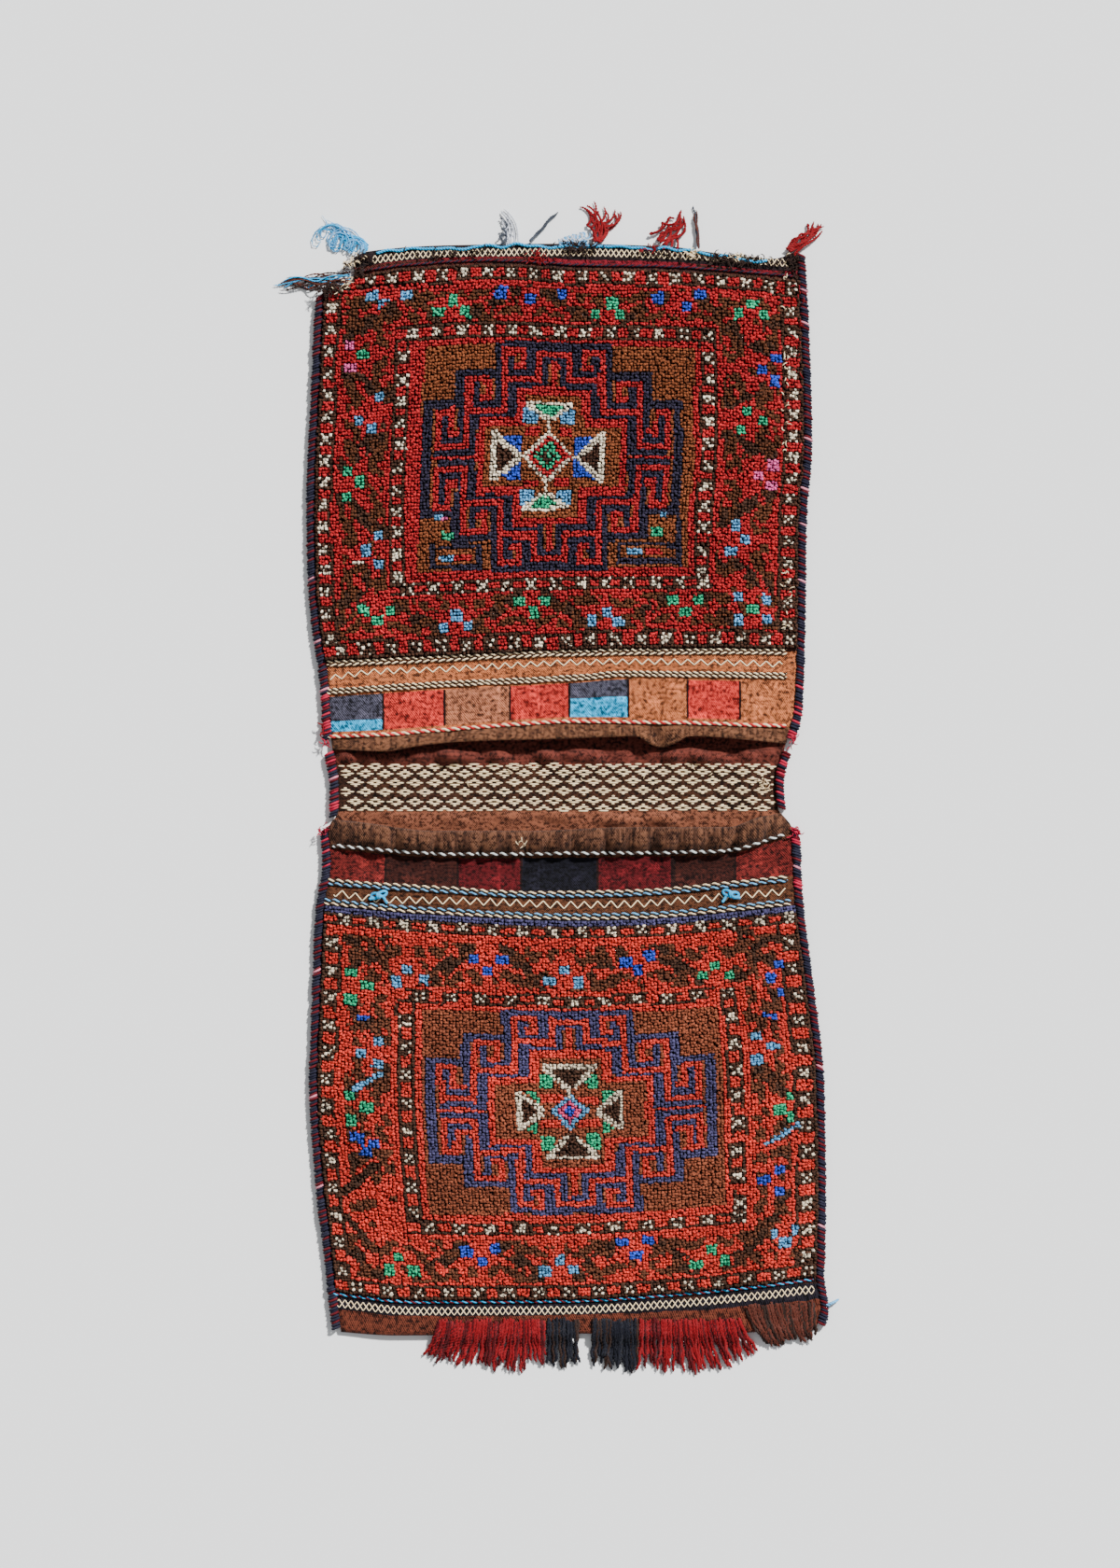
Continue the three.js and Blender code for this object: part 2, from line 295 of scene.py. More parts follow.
class Paint:
    # one material and the ways to add nodes to it
    def __init__(self, name):
        self.material = bpy.data.materials.new(name)
        self.material.use_nodes = True
        self.tree = self.material.node_tree
        self.shader = self.tree.nodes["Principled BSDF"]

    def node(self, kind, settings=None, inputs=None):
        made = self.tree.nodes.new(kind)
        for key, value in (settings or {}).items():
            if key == "stops":
                ramp = made.color_ramp
                while len(ramp.elements) < len(value):
                    ramp.elements.new(0.5)
                for element, (at, colour) in zip(ramp.elements, value):
                    element.position = at
                    element.color = (*colour, 1)
            elif key == "steps":
                made.color_ramp.interpolation = value
            else:
                setattr(made, key, value)
        for key, value in (inputs or {}).items():
            self.feed(made.inputs[key], value)
        return made

    def feed(self, socket, value):
        if isinstance(value, Value):
            value = value.socket
        if isinstance(value, bpy.types.NodeSocket):
            self.tree.links.new(value, socket)
        elif isinstance(value, tuple) and socket.type == "RGBA":
            socket.default_value = (*value[:3], 1)
        else:
            socket.default_value = value

    def places(self):
        return self.node("ShaderNodeTexCoord").outputs["Object"]

    def clothPlaces(self):
        made = self.node("ShaderNodeUVMap", {"uv_map": "cloth"})
        parts = self.node("ShaderNodeSeparateXYZ", None, {0: made.outputs[0]})
        return made.outputs[0], Value(self, parts.outputs[0]), Value(self, parts.outputs[1])

    # noise from 0 to 1, at a size in millimetres, drawn out along x, y or z by stretch
    def noise(self, places, size, detail=3.0, stretch=(1, 1, 1)):
        scale = tuple(1 / (size * mm * s) for s in stretch)
        moved = self.node("ShaderNodeMapping", None, {"Vector": places, "Scale": scale})
        made = self.node("ShaderNodeTexNoise", None,
                         {"Vector": moved.outputs[0], "Scale": 1.0, "Detail": detail,
                          "Roughness": gloss["noiseRoughness"]})
        return Value(self, made.outputs[0])

    def blend(self, a, b, share, how="MIX"):
        made = self.node("ShaderNodeMix", {"data_type": "RGBA", "blend_type": how},
                         {0: share, 6: a, 7: b})
        return made.outputs[2]

    def ramp(self, value, stops, steps="LINEAR"):
        made = self.node("ShaderNodeValToRGB", {"stops": stops, "steps": steps}, {0: value})
        return made.outputs[0]

    def bump(self, height, distance, strength=1.0):
        made = self.node("ShaderNodeBump", None,
                         {"Height": height, "Distance": distance * mm, "Strength": strength})
        return made.outputs[0]

    def finish(self, colour, roughness, normal=None, sheen=0.0):
        self.feed(self.shader.inputs["Base Color"], colour)
        self.feed(self.shader.inputs["Roughness"], roughness)
        if normal is not None:
            self.feed(self.shader.inputs["Normal"], normal)
        self.shader.inputs["Sheen Weight"].default_value = sheen
        self.shader.inputs["Sheen Roughness"].default_value = gloss["sheenRoughness"]
        self.shader.inputs["Specular IOR Level"].default_value = gloss["specular"]


# the dyes of the tapestry blocks; the lower lip's dye and the darkest lower block dyes are darkened as
# painted shade
dyes = {name: hexColour(text) for name, text in {
    "navy": "1C1B2C", "cyan": "1D9BCF", "clay": "9C5A38", "slate": "3D3D4B", "slit": "1A0C0A",
    "nearBlack": "0E0E16",
    "patchRed": "AC302A", "patchBrown": "2C120E", "patchClay": "905A42", "deepRed": "460E12",
    "endRed": "561A18", "lipBrown": "66432F", "lipPaintedShade": "583A2A", "bandBrown": "50301F",
}.items()}


# sizes in millimetres; stops are where the dark, plain and pale dye stand
spun = {
    "broad": 9, "fine": 0.9, "fineDetail": 4, "broadShare": 0.4, "fineShare": 0.6, "unevenness": 0.35,
    "darker": 1.3, "lift": 0.02, "stops": (0.32, 0.5, 0.7), "roughness": 0.85, "bump": 0.5,
}


# spun wool: uneven dye, with painted shade between the fibres, and a fuzzy bump
def yarnMaterial(name, colour, unevenness=spun["unevenness"]):
    paint = Paint(name)
    places = paint.places()
    broad = paint.noise(places, spun["broad"])
    fine = paint.noise(places, spun["fine"], spun["fineDetail"])
    dark = tuple(c * (1 - unevenness * spun["darker"]) for c in colour)
    pale = tuple(min(1, c * (1 + unevenness) + spun["lift"]) for c in colour)
    mixed = broad * spun["broadShare"] + fine * spun["fineShare"]
    shade = paint.ramp(mixed, list(zip(spun["stops"], (dark, colour, pale))))
    paint.finish(shade, spun["roughness"], paint.bump(fine, spun["bump"]), sheen=gloss["sheen"])
    return paint.material


# noises are (size in millimetres, detail, stretch); shares say how much each adds to the shade
weave = {
    "warp": 2.3, "row": 2.6, "waver": (14, 2), "waverBy": 1.6, "flecks": (3.3, 2.5, (1.15, 1, 1)),
    "blotches": (9, 3), "streaks": (3.4, 2, (12, 1, 1)),
    "shares": {"flecks": 0.5, "height": 0.1, "streaks": 0.14, "blotches": 0.26}, "shade": (0.44, 0.56),
    "dark": (0.06, 0.04, 0.04), "pale": (1.7, 1.6, 1.5), "strength": 0.88,
    "relief": {"height": 0.5, "flecks": 1.6}, "bump": 1.8, "roughness": 0.9,
}


# rows of weft beaten over the warps: a half plus half of sin(warp) sin(row)
def weaveHeight(u, v):
    warp = (u * (2 * pi / (weave["warp"] * mm))).sine()
    row = (v * (2 * pi / (weave["row"] * mm))).sine()
    return 0.5 + warp * row * 0.5


# flat weave, flecked darker or paler: uneven yarn, with painted shade where the weave and its flecks sink
# and painted highlight where they rise
def flatWeave(name, colourOf):
    paint = Paint(name)
    places, u, v = paint.clothPlaces()
    waver = paint.noise(places, *weave["waver"]) * (weave["waverBy"] * mm)
    height = weaveHeight(u + waver, v + waver)
    flecks = paint.noise(places, *weave["flecks"])
    blotches = paint.noise(places, *weave["blotches"])
    streaks = paint.noise(places, *weave["streaks"])
    colour = colourOf(paint, places, u, v)
    shares, strength = weave["shares"], weave["strength"]
    shade = (flecks * shares["flecks"] + height * shares["height"] + streaks * shares["streaks"] +
             blotches * shares["blotches"]).ramp(*weave["shade"])
    # dark is painted shade and pale painted highlight, mixed into the dye by the shade value
    dark = paint.blend(colour, weave["dark"], 1.0, "MULTIPLY")
    pale = paint.blend(colour, weave["pale"], 1.0, "MULTIPLY")
    low = paint.blend(colour, dark, (1 - shade) * strength)
    high = paint.blend(low, pale, shade * strength)
    relief = height * weave["relief"]["height"] + flecks * weave["relief"]["flecks"]
    paint.finish(high, weave["roughness"], paint.bump(relief, weave["bump"]), sheen=gloss["sheen"])
    return paint.material


# one dye clouded with another
def plainColour(colour, other, patch=40):
    def colourOf(paint, places, u, v):
        return paint.blend(colour, other, paint.noise(places, patch, 3).ramp(0.35, 0.65))
    return colourOf


# tapestry blocks along the mouth: each block has a near edge, in millimetres across, and two
# dyes, one above and one below a split
mouthBlocks = {
    "upper": {
        "from": 24, "to": 57, "ground": "clay", "lip": "lipBrown",
        "edges": [-262, -188, -122, -52, 12, 74, 138, 195],
        "dyes": ["slate", "patchRed", "patchClay", "patchRed", "slate", "clay", "patchRed", "clay"],
        "worn": 0.3, "paintedPleatShade": 0.5, "stripe": "cyan", "stripeEnd": [34, 0, 0, 0, 42, 0, 0, 0],
    },
    # the lower mouth lies in the raised lip's shadow: its lip dye and its deepRed, endRed, patchBrown and
    # nearBlack blocks are darkened as painted shade, over dyes that are dark of their own
    "lower": {
        "from": 24, "to": 60, "ground": "bandBrown", "lip": "lipPaintedShade",
        "edges": [-262, -185, -108, -39, 43, 123, 189],
        "dyes": ["endRed", "patchBrown", "deepRed", "nearBlack", "deepRed", "patchBrown", "endRed"],
        "worn": 0.55, "paintedPleatShade": 0.62, "stripe": "navy", "stripeEnd": [0, 0, 0, 0, 0, 0, 0],
    },
}


# stripes along the weft: each level is where a dye starts, in millimetres of pattern length
def stripColour(levels, patch=20):
    def colourOf(paint, places, u, v):
        start, end = levels[0][0], levels[-1][0] + 1
        waver = (paint.noise(places, patch, 2) - 0.5) * (3 * mm)
        place = (v + waver - start * mm) / ((end - start) * mm)
        stops = [((level - start) / (end - start), hexColour(dye)) for level, dye in levels]
        return paint.ramp(place, stops, "CONSTANT")
    return colourOf


# lengths in millimetres; noises are (size, detail, stretch), and ramps are where they start and end
tapestry = {
    "start": -300, "width": 600, "ragged": (3, 2), "raggedBy": 2.4, "slit": 1.3, "stripeScale": 100,
    "worn": (15, 4), "wornRamp": (0.54, 0.6), "wornBy": (2.6, 2.5, 2.5), "paintedPleatShade": (5, 2, (1, 7, 1)),
    "paintedPleatShadeRamp": (0.42, 0.56), "lipEnd": 19,
}


# the mouth band: a lip with painted shade in its pleats, then blocks of dye between slits, worn paler in
# blotches
def blockColour(block):
    width, start, slit = tapestry["width"], tapestry["start"], tapestry["slit"]

    def colourOf(paint, places, u, v):
        ragged = (paint.noise(places, *tapestry["ragged"]) - 0.5) * (tapestry["raggedBy"] * mm)
        across = (u + ragged - start * mm) / (width * mm)
        stops = []
        for edge, dye in zip(block["edges"], block["dyes"]):
            stops += [((edge - slit - start) / width, dyes["slit"]),
                      ((edge + slit - start) / width, dyes[dye])]
        colour = paint.ramp(across, stops, "CONSTANT")
        scale = tapestry["stripeScale"]
        ends = [((edge - start) / width, (end / scale,) * 3)
                for edge, end in zip(block["edges"], block["stripeEnd"])]
        reach = paint.node("ShaderNodeSeparateColor", None,
                           {0: paint.ramp(across, ends, "CONSTANT")}).outputs[0]
        inStripe = (v / (scale * mm)) < Value(paint, reach)
        colour = paint.blend(colour, dyes[block["stripe"]], inStripe)
        inBlocks = (v + ragged * 0.5).between(block["from"] * mm, block["to"] * mm)
        worn = paint.noise(places, *tapestry["worn"]).ramp(*tapestry["wornRamp"]) * block["worn"]
        colour = paint.blend(colour, paint.blend(colour, tapestry["wornBy"], 1.0, "MULTIPLY"), worn)
        # painted shade: the lip's dye is drawn towards the slit dye in blotches stretched down the band,
        # standing in for shade in the pleats of the lip
        paintedPleatShade = paint.noise(places, *tapestry["paintedPleatShade"]).ramp(*tapestry["paintedPleatShadeRamp"])
        lip = paint.blend(dyes[block["lip"]], dyes["slit"], (1 - paintedPleatShade) * block["paintedPleatShade"])
        ground = paint.blend(dyes[block["ground"]], lip, v < tapestry["lipEnd"] * mm)
        return paint.blend(ground, colour, inBlocks)

    return colourOf


# dark and pale multiply the knot's dye: painted shade where fibres and tips are low, painted highlight where
# they are high
knotFinish = {
    "fibres": (1.1, 4), "tips": (2.6, 2), "fibreShare": 0.6, "tipShare": 0.4, "shade": (0.4, 0.6),
    "dark": (0.10, 0.08, 0.08), "pale": (2.1, 2.0, 1.95), "paintedShadeBy": 0.8, "paintedHighlightBy": 0.62, "bump": 1.8,
    "roughness": 0.9,
}


# knotted pile: the dye of each knot from its own attribute, broken up by its fibres, with painted shade
# between the fibres and painted highlight on their tips
def pileMaterial():
    paint = Paint("knottedPile")
    places = paint.places()
    dye = paint.node("ShaderNodeVertexColor", {"layer_name": "dye"}).outputs[0]
    fibres = paint.noise(places, *knotFinish["fibres"])
    tips = paint.noise(places, *knotFinish["tips"])
    shade = (fibres * knotFinish["fibreShare"] + tips * knotFinish["tipShare"]).ramp(*knotFinish["shade"])
    dark = paint.blend(dye, knotFinish["dark"], 1.0, "MULTIPLY")
    pale = paint.blend(dye, knotFinish["pale"], 1.0, "MULTIPLY")
    low = paint.blend(dye, dark, (1 - shade) * knotFinish["paintedShadeBy"])
    high = paint.blend(low, pale, shade * knotFinish["paintedHighlightBy"])
    paint.finish(high, knotFinish["roughness"], paint.bump(fibres, knotFinish["bump"]), sheen=gloss["sheen"])
    return paint.material


# folds and lips as y over x, and the outer sides as x over y, as in the part's own frame
foldTop = curveThrough((-229, 563), (-202, 576), (-126, 582), (0, 584), (119, 581), (170, 574), (231, 568),
                       (262, 577))
foldBottom = curveThrough((-239, -584), (-174, -588), (0, -586), (150, -586), (268, -582))
lipTop = curveThrough((-250, 41), (-188, 39), (-139, 46), (-89, 50), (-7, 52), (85, 55), (99, 47), (112, 43),
                      (127, 48), (142, 55), (250, 47))
lipBottom = curveThrough((-243, -34), (-201, -39), (-135, -47), (-28, -47), (82, -43), (181, -43),
                         (220, -32), (244, -27))
leftSide = curveThrough((575, -228), (540, -229), (534, -260), (424, -266), (301, -271), (214, -269),
                        (105, -256), (50, -253), (0, -246), (-25, -246), (-44, -256), (-82, -254),
                        (-130, -261), (-253, -266), (-311, -268), (-426, -261), (-492, -253), (-550, -247),
                        (-585, -243))
rightSide = curveThrough((579, 268), (510, 272), (373, 276), (281, 270), (184, 269), (86, 266), (46, 256),
                         (6, 246), (-22, 248), (-43, 262), (-115, 266), (-206, 277), (-315, 289),
                         (-436, 291), (-498, 290), (-520, 289), (-560, 294), (-585, 287))

cordLines = {
    "upper_hem_cord": curveThrough((-210, 554), (-164, 560), (-68, 565), (30, 560), (97, 559), (253, 549)),
    "upper_outer_band_cord": curveThrough((-248, 133), (-149, 137), (10, 144), (151, 146), (258, 146)),
    "upper_inner_band_cord": curveThrough((-248, 103), (-119, 111), (23, 118), (72, 122), (250, 120)),
    "upper_mouth_cord": curveThrough((-246, 55), (-188, 57), (-109, 63), (23, 71), (112, 70), (250, 66)),
    "lower_mouth_cord": curveThrough((-239, -62), (-105, -71), (23, -70), (171, -68), (246, -50)),
    "lower_inner_band_cord": curveThrough((-243, -101), (-105, -110), (-28, -114), (62, -113), (250, -97)),
    "lower_outer_band_cord": curveThrough((-248, -122), (-143, -131), (23, -138), (82, -137), (256, -122)),
    "lower_hem_cord": curveThrough((-237, -543), (-143, -551), (3, -550), (125, -543), (278, -527)),
}

cloth = {
    "thickness": 3, "foldGap": 4, "pouchGap": 9, "seamGap": 0.8, "foldReach": 60, "seamReach": 60,
    "sideInset": 11, "columns": 136, "wave": 1.6, "crease": 0.8, "rumple": 0.55,
    "lipRoll": 11, "trough": 7.5, "pucker": 9.5, "lipFlare": 8, "ruck": 9,
    "tucks": [(-205, 0.5), (-172, 0.9), (-150, 0.4), (-132, 0.8), (-104, 0.5), (-82, 1), (-58, 0.4),
              (-32, 0.9), (-8, 0.4), (15, 0.8), (52, 1), (75, 0.5), (102, 0.9), (131, 0.8), (160, 0.5),
              (189, 1), (226, 0.8)],
    "tuckWidth": 5.5, "tuckSlant": 0.25, "tuckSway": 2.0, "ridge": 1.4, "ridgeAt": 13, "ridgeReach": 15,
    "lipFolds": [(112, 0.4, 9, 1), (150, -0.2, 8, 0.8)],  # x, slant, width and share of the depth
    "lipFoldDepth": 6, "lipDimple": 3, "lipWave": 0.8, "clearance": 0.5,
    "lengths": {"wave": 210, "crease": 60, "pucker": 46, "rumple": 17, "sway": 30},
}

pouches = {
    "upper": {
        "fold": foldTop, "lip": lipTop, "way": 1, "seed": 11, "hem": "upper_hem_cord",
        "guides": ["upper_mouth_cord", "upper_inner_band_cord", "upper_outer_band_cord"],
    },
    "lower": {
        "fold": foldBottom, "lip": lipBottom, "way": -1, "seed": 23, "hem": "lower_hem_cord",
        "guides": ["lower_mouth_cord", "lower_inner_band_cord", "lower_outer_band_cord"],
    },
}
# where the lip, the three cords of the mouth band, the hem cord and the fold lie on the pattern, in mm
bandMarks = [0, 20, 62, 92, 500, 522]


def leftEdge(y):
    return leftSide(y) + cloth["sideInset"]


def rightEdge(y):
    return rightSide(y) - cloth["sideInset"]


# pattern length of a front at x, y: straight pieces between lip, cords, hem cord and fold
def bandPlace(pouch, x, y):
    lines = [pouch["lip"](x), *(cordLines[name](x) for name in pouch["guides"]), cordLines[pouch["hem"]](x),
             pouch["fold"](x)]
    away = [(line - lines[0]) * pouch["way"] for line in lines]
    out = (y - lines[0]) * pouch["way"]
    place = np.minimum(out, 0)
    for start, end, low, high in zip(away, away[1:], bandMarks, bandMarks[1:]):
        place = place + (high - low) * np.clip((out - start) / (end - start), 0, 1)
    return place


# 1 up to start and 0 from end on
def fade(x, start, end):
    return 1 - smooth(x, start, end)


# upper lip: flares, with shallow dimples and slanting folds
def upperLift(place, x, puckers):
    lift = cloth["lipFlare"] * fade(place, 0, 26) + cloth["lipWave"] * fade(place, 60, 130) * puckers
    fold = sum(share * np.exp(-((x - middle + slant * place) / width) ** 2)
               for middle, slant, width, share in cloth["lipFolds"])
    dimples = cloth["lipDimple"] * np.maximum(-puckers, 0) + cloth["lipFoldDepth"] * fold
    return lift - dimples * fade(place, 2, 26)


# lower lip: a roll, a trough behind it, and tucks gathered across the roll
def lowerLift(place, x, y, puckers):
    roll = smooth(place, -6, 5) * fade(place, 12, 27) * cloth["lipRoll"]
    dip = smooth(place, 10, 27) * fade(place, 36, 64) * cloth["trough"]
    sway = cloth["tuckSway"] * ripple(x, y, cloth["lengths"]["sway"], 19)
    slant = x + cloth["tuckSlant"] * (place - 12) + sway
    tuck = sum(depth * np.exp(-((slant - middle) / cloth["tuckWidth"]) ** 2)
               for middle, depth in cloth["tucks"])
    across = np.exp(-((place - cloth["ridgeAt"]) / cloth["ridgeReach"]) ** 2)
    return roll - dip + (cloth["ridge"] * puckers - cloth["pucker"] * tuck) * across


# upper face of a front: cloth over the air in the pouch, lower at its fold and its sewn sides,
# with soft waves and its own lip, and never below the back
def frontHeight(pouch, x, y):
    lengths, seed = cloth["lengths"], pouch["seed"]
    fromFold = np.abs(pouch["fold"](x) - y)
    gap = mix(cloth["foldGap"], cloth["pouchGap"], smooth(fromFold, 5, cloth["foldReach"]))
    fromSide = np.minimum(x - leftEdge(y), rightEdge(y) - x)
    inside = smooth(fromSide, -1, cloth["seamReach"])
    height = cloth["thickness"] * 2 + gap - (1 - inside) * (gap - cloth["seamGap"])
    free = smooth(fromSide, 0, 45) * smooth(fromFold, 6, 50)
    height = height + free * (cloth["wave"] * ripple(x, y, lengths["wave"], seed) +
                              cloth["crease"] * ripple(x, y, lengths["crease"], seed + 1))
    place = bandPlace(pouch, x, y)
    puckers = ripple(x, y * 0.22 + 400, lengths["pucker"], seed + 2)
    lift = upperLift(place, x, puckers) if pouch["way"] > 0 else lowerLift(place, x, y, puckers)
    rumple = cloth["rumple"] * fade(place, 85, 100) * ripple(x, y, lengths["rumple"], seed + 3)
    height = height + (lift + rumple) * mix(0.25, 1, smooth(fromSide, -2, 34))
    return np.maximum(height, backHeight(x, y) + cloth["thickness"] + cloth["clearance"])


# slopes of a height field by small steps
def outward(height, x, y, step=1.0):
    slopeX = (height(x + step, y) - height(x - step, y)) / (2 * step)
    slopeY = (height(x, y + step) - height(x, y - step)) / (2 * step)
    return unit(np.stack([-slopeX, -slopeY, np.ones_like(slopeX)], -1))


# how many rows of points each part of the strip has, and where along it they change
stripRows = {
    "mouthShare": 105 / 530, "mouth": 50, "front": 40, "turn": [60, 30, 0, -30, -60],
    "bridge": (0.44, 0.55), "back": (20, 56, 20),
}


# rows of one front from its lip to its fold, closer together near the mouth
def frontRows():
    near = np.linspace(0, stripRows["mouthShare"], stripRows["mouth"], endpoint=False)
    return np.concatenate([near, np.linspace(stripRows["mouthShare"], 1, stripRows["front"])])


# rows of the back from fold to fold, closer together under the mouths and on the bridge
def backRows():
    start, end = stripRows["bridge"]
    before, between, after = stripRows["back"]
    return np.concatenate([np.linspace(0, start, before, endpoint=False),
                           np.linspace(start, end, between, endpoint=False), np.linspace(end, 1, after)])


# middle surface of the cloth as rows of points: a front at half a thickness under its upper face, a
# half circle round the fold, the back near the ground, and the same again at the other end
def clothMiddle():
    half = cloth["thickness"] / 2
    foldRadius = half + cloth["foldGap"] / 2
    across = np.linspace(0, 1, cloth["columns"])
    rows, kinds, places = [], [], []

    def addRow(x, y, z, kind, place):
        rows.append(np.stack([x, y, z], -1))
        kinds.append(kind)
        places.append(np.broadcast_to(place, x.shape))

    def xAt(y):
        return mix(leftEdge(y), rightEdge(y), across)

    def frontPart(pouch, shares):
        guess = xAt(pouch["fold"](xAt(np.full(across.shape, pouch["way"] * 560.0))))
        for share in shares:
            x = guess
            for _ in range(3):
                edge = pouch["fold"](x) - pouch["way"] * (half + foldRadius)
                y = mix(pouch["lip"](x), edge, share)
                x = xAt(y)
            z = frontHeight(pouch, x, y) - half
            addRow(x, y, z, pouch["way"], bandPlace(pouch, x, y))

    def foldPart(pouch, angles):
        for angle in angles:
            x = xAt(pouch["fold"](xAt(np.full(across.shape, pouch["way"] * 560.0))))
            edge = pouch["fold"](x) - pouch["way"] * (half + foldRadius)
            y = edge + pouch["way"] * foldRadius * np.cos(angle)
            low = half + 0.2
            top = frontHeight(pouch, x, edge) - half
            z = mix(low, top, 0.5 + 0.5 * np.sin(angle))
            addRow(x, y, z, pouch["way"] * 2, 522.0 + 0 * x)

    turn = np.radians(stripRows["turn"])
    frontPart(pouches["upper"], frontRows())
    foldPart(pouches["upper"], turn)
    for share in backRows():
        x = xAt(mix(577.0, -580.0, share) + 0 * across)
        y = mix(foldTop(x) - half - foldRadius, foldBottom(x) + half + foldRadius, share)
        x = xAt(y)
        z = backHeight(x, y) - half
        addRow(x, y, z, 0, y)
    foldPart(pouches["lower"], turn[::-1])
    frontPart(pouches["lower"], frontRows()[::-1])
    return np.array(rows), np.array(kinds), np.array(places)


# a ruck is its y, width, lift, stretch along y, wavelength, seed and share of the depth
back = {
    "lift": 0.2, "wave": 1.3, "waveLength": 55, "waveStretch": 0.5,
    "rucks": [(34, 6.5, 0.5, 0.6, 30, 71, 1), (-33, 6, 0.2, 1, 40, 72, 0.7)],
}


# upper face of the back, a little wavy on the bridge and rucked beside the two mouths
def backHeight(x, y):
    onBridge = smooth(y, -70, -30) * (1 - smooth(y, 30, 70))
    fromSide = np.minimum(x - leftEdge(y), rightEdge(y) - x)
    wave = 1 + ripple(x, y * back["waveStretch"], back["waveLength"], 5)
    flat = onBridge * back["wave"] * np.maximum(wave, 0)
    ruck = sum(np.exp(-((y - middle) / width) ** 2) *
               np.maximum(lift + ripple(x, stretch * y, length, seed), 0) * cloth["ruck"] * share
               for middle, width, lift, stretch, length, seed, share in back["rucks"])
    return cloth["thickness"] + back["lift"] + smooth(fromSide, 0, 20) * (flat + ruck)


bridge = {"bottom": -23, "top": 24, "beside": 60}  # y of the bridge's weave and of the plain cloth beside it


# finishes: back, upper mouth, lower mouth, pile ground, lower fold, bridge, beside mouths, upper fold
def buildBody(finishes):
    middle, kinds, places = clothMiddle()
    rows, columns, _ = middle.shape
    along = np.gradient(middle, axis=0)
    acrossWay = np.gradient(middle, axis=1)
    normal = unit(np.cross(acrossWay, along))
    half = cloth["thickness"] / 2
    outer = middle + normal * half
    inner = middle - normal * half
    index = np.arange(rows * columns).reshape(rows, columns)
    under = index + rows * columns
    outerFaces = gridFaces(index)
    innerFaces = gridFaces(under)[:, ::-1]
    rims = [
        np.stack([index[:-1, 0], index[1:, 0], under[1:, 0], under[:-1, 0]], -1),
        np.stack([index[1:, -1], index[:-1, -1], under[:-1, -1], under[1:, -1]], -1),
        np.stack([index[0, :-1], under[0, :-1], under[0, 1:], index[0, 1:]], -1),
        np.stack([under[-1, :-1], index[-1, :-1], index[-1, 1:], under[-1, 1:]], -1),
    ]
    rowKind = kinds[:-1, None] + 0 * index[:-1, :-1]
    rowPlace = (places[:-1, :-1] + places[1:, 1:]) / 2
    inMouth, onPile = rowPlace < bandMarks[3] + 1, rowPlace < bandMarks[4]
    outerSlot = np.where(rowKind == 1, np.where(inMouth, 1, np.where(onPile, 3, 7)), 0)
    outerSlot = np.where(rowKind == -1, np.where(inMouth, 2, np.where(onPile, 3, 4)), outerSlot)
    outerSlot = np.where(np.abs(rowKind) == 2, np.where(rowKind > 0, 7, 4), outerSlot)
    innerSlot = np.zeros_like(outerSlot)
    yMiddle = middle[:-1, :-1, 1]
    onBack = rowKind == 0
    innerSlot = np.where(onBack & (np.abs(yMiddle) < bridge["beside"]), 6, innerSlot)
    innerSlot = np.where(onBack & (yMiddle > bridge["bottom"]) & (yMiddle < bridge["top"]), 5, innerSlot)
    uv = np.stack([middle[..., 0], places], -1).reshape(-1, 2)
    slots = [outerSlot.ravel(), innerSlot.ravel(), *(np.zeros(len(rim), int) for rim in rims)]
    body = makePiece("woven_strip", np.concatenate([outer.reshape(-1, 3), inner.reshape(-1, 3)]),
                     [outerFaces, innerFaces, *rims], finishes, slots, np.concatenate([uv, uv]))
    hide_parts("woven_body")
    return body


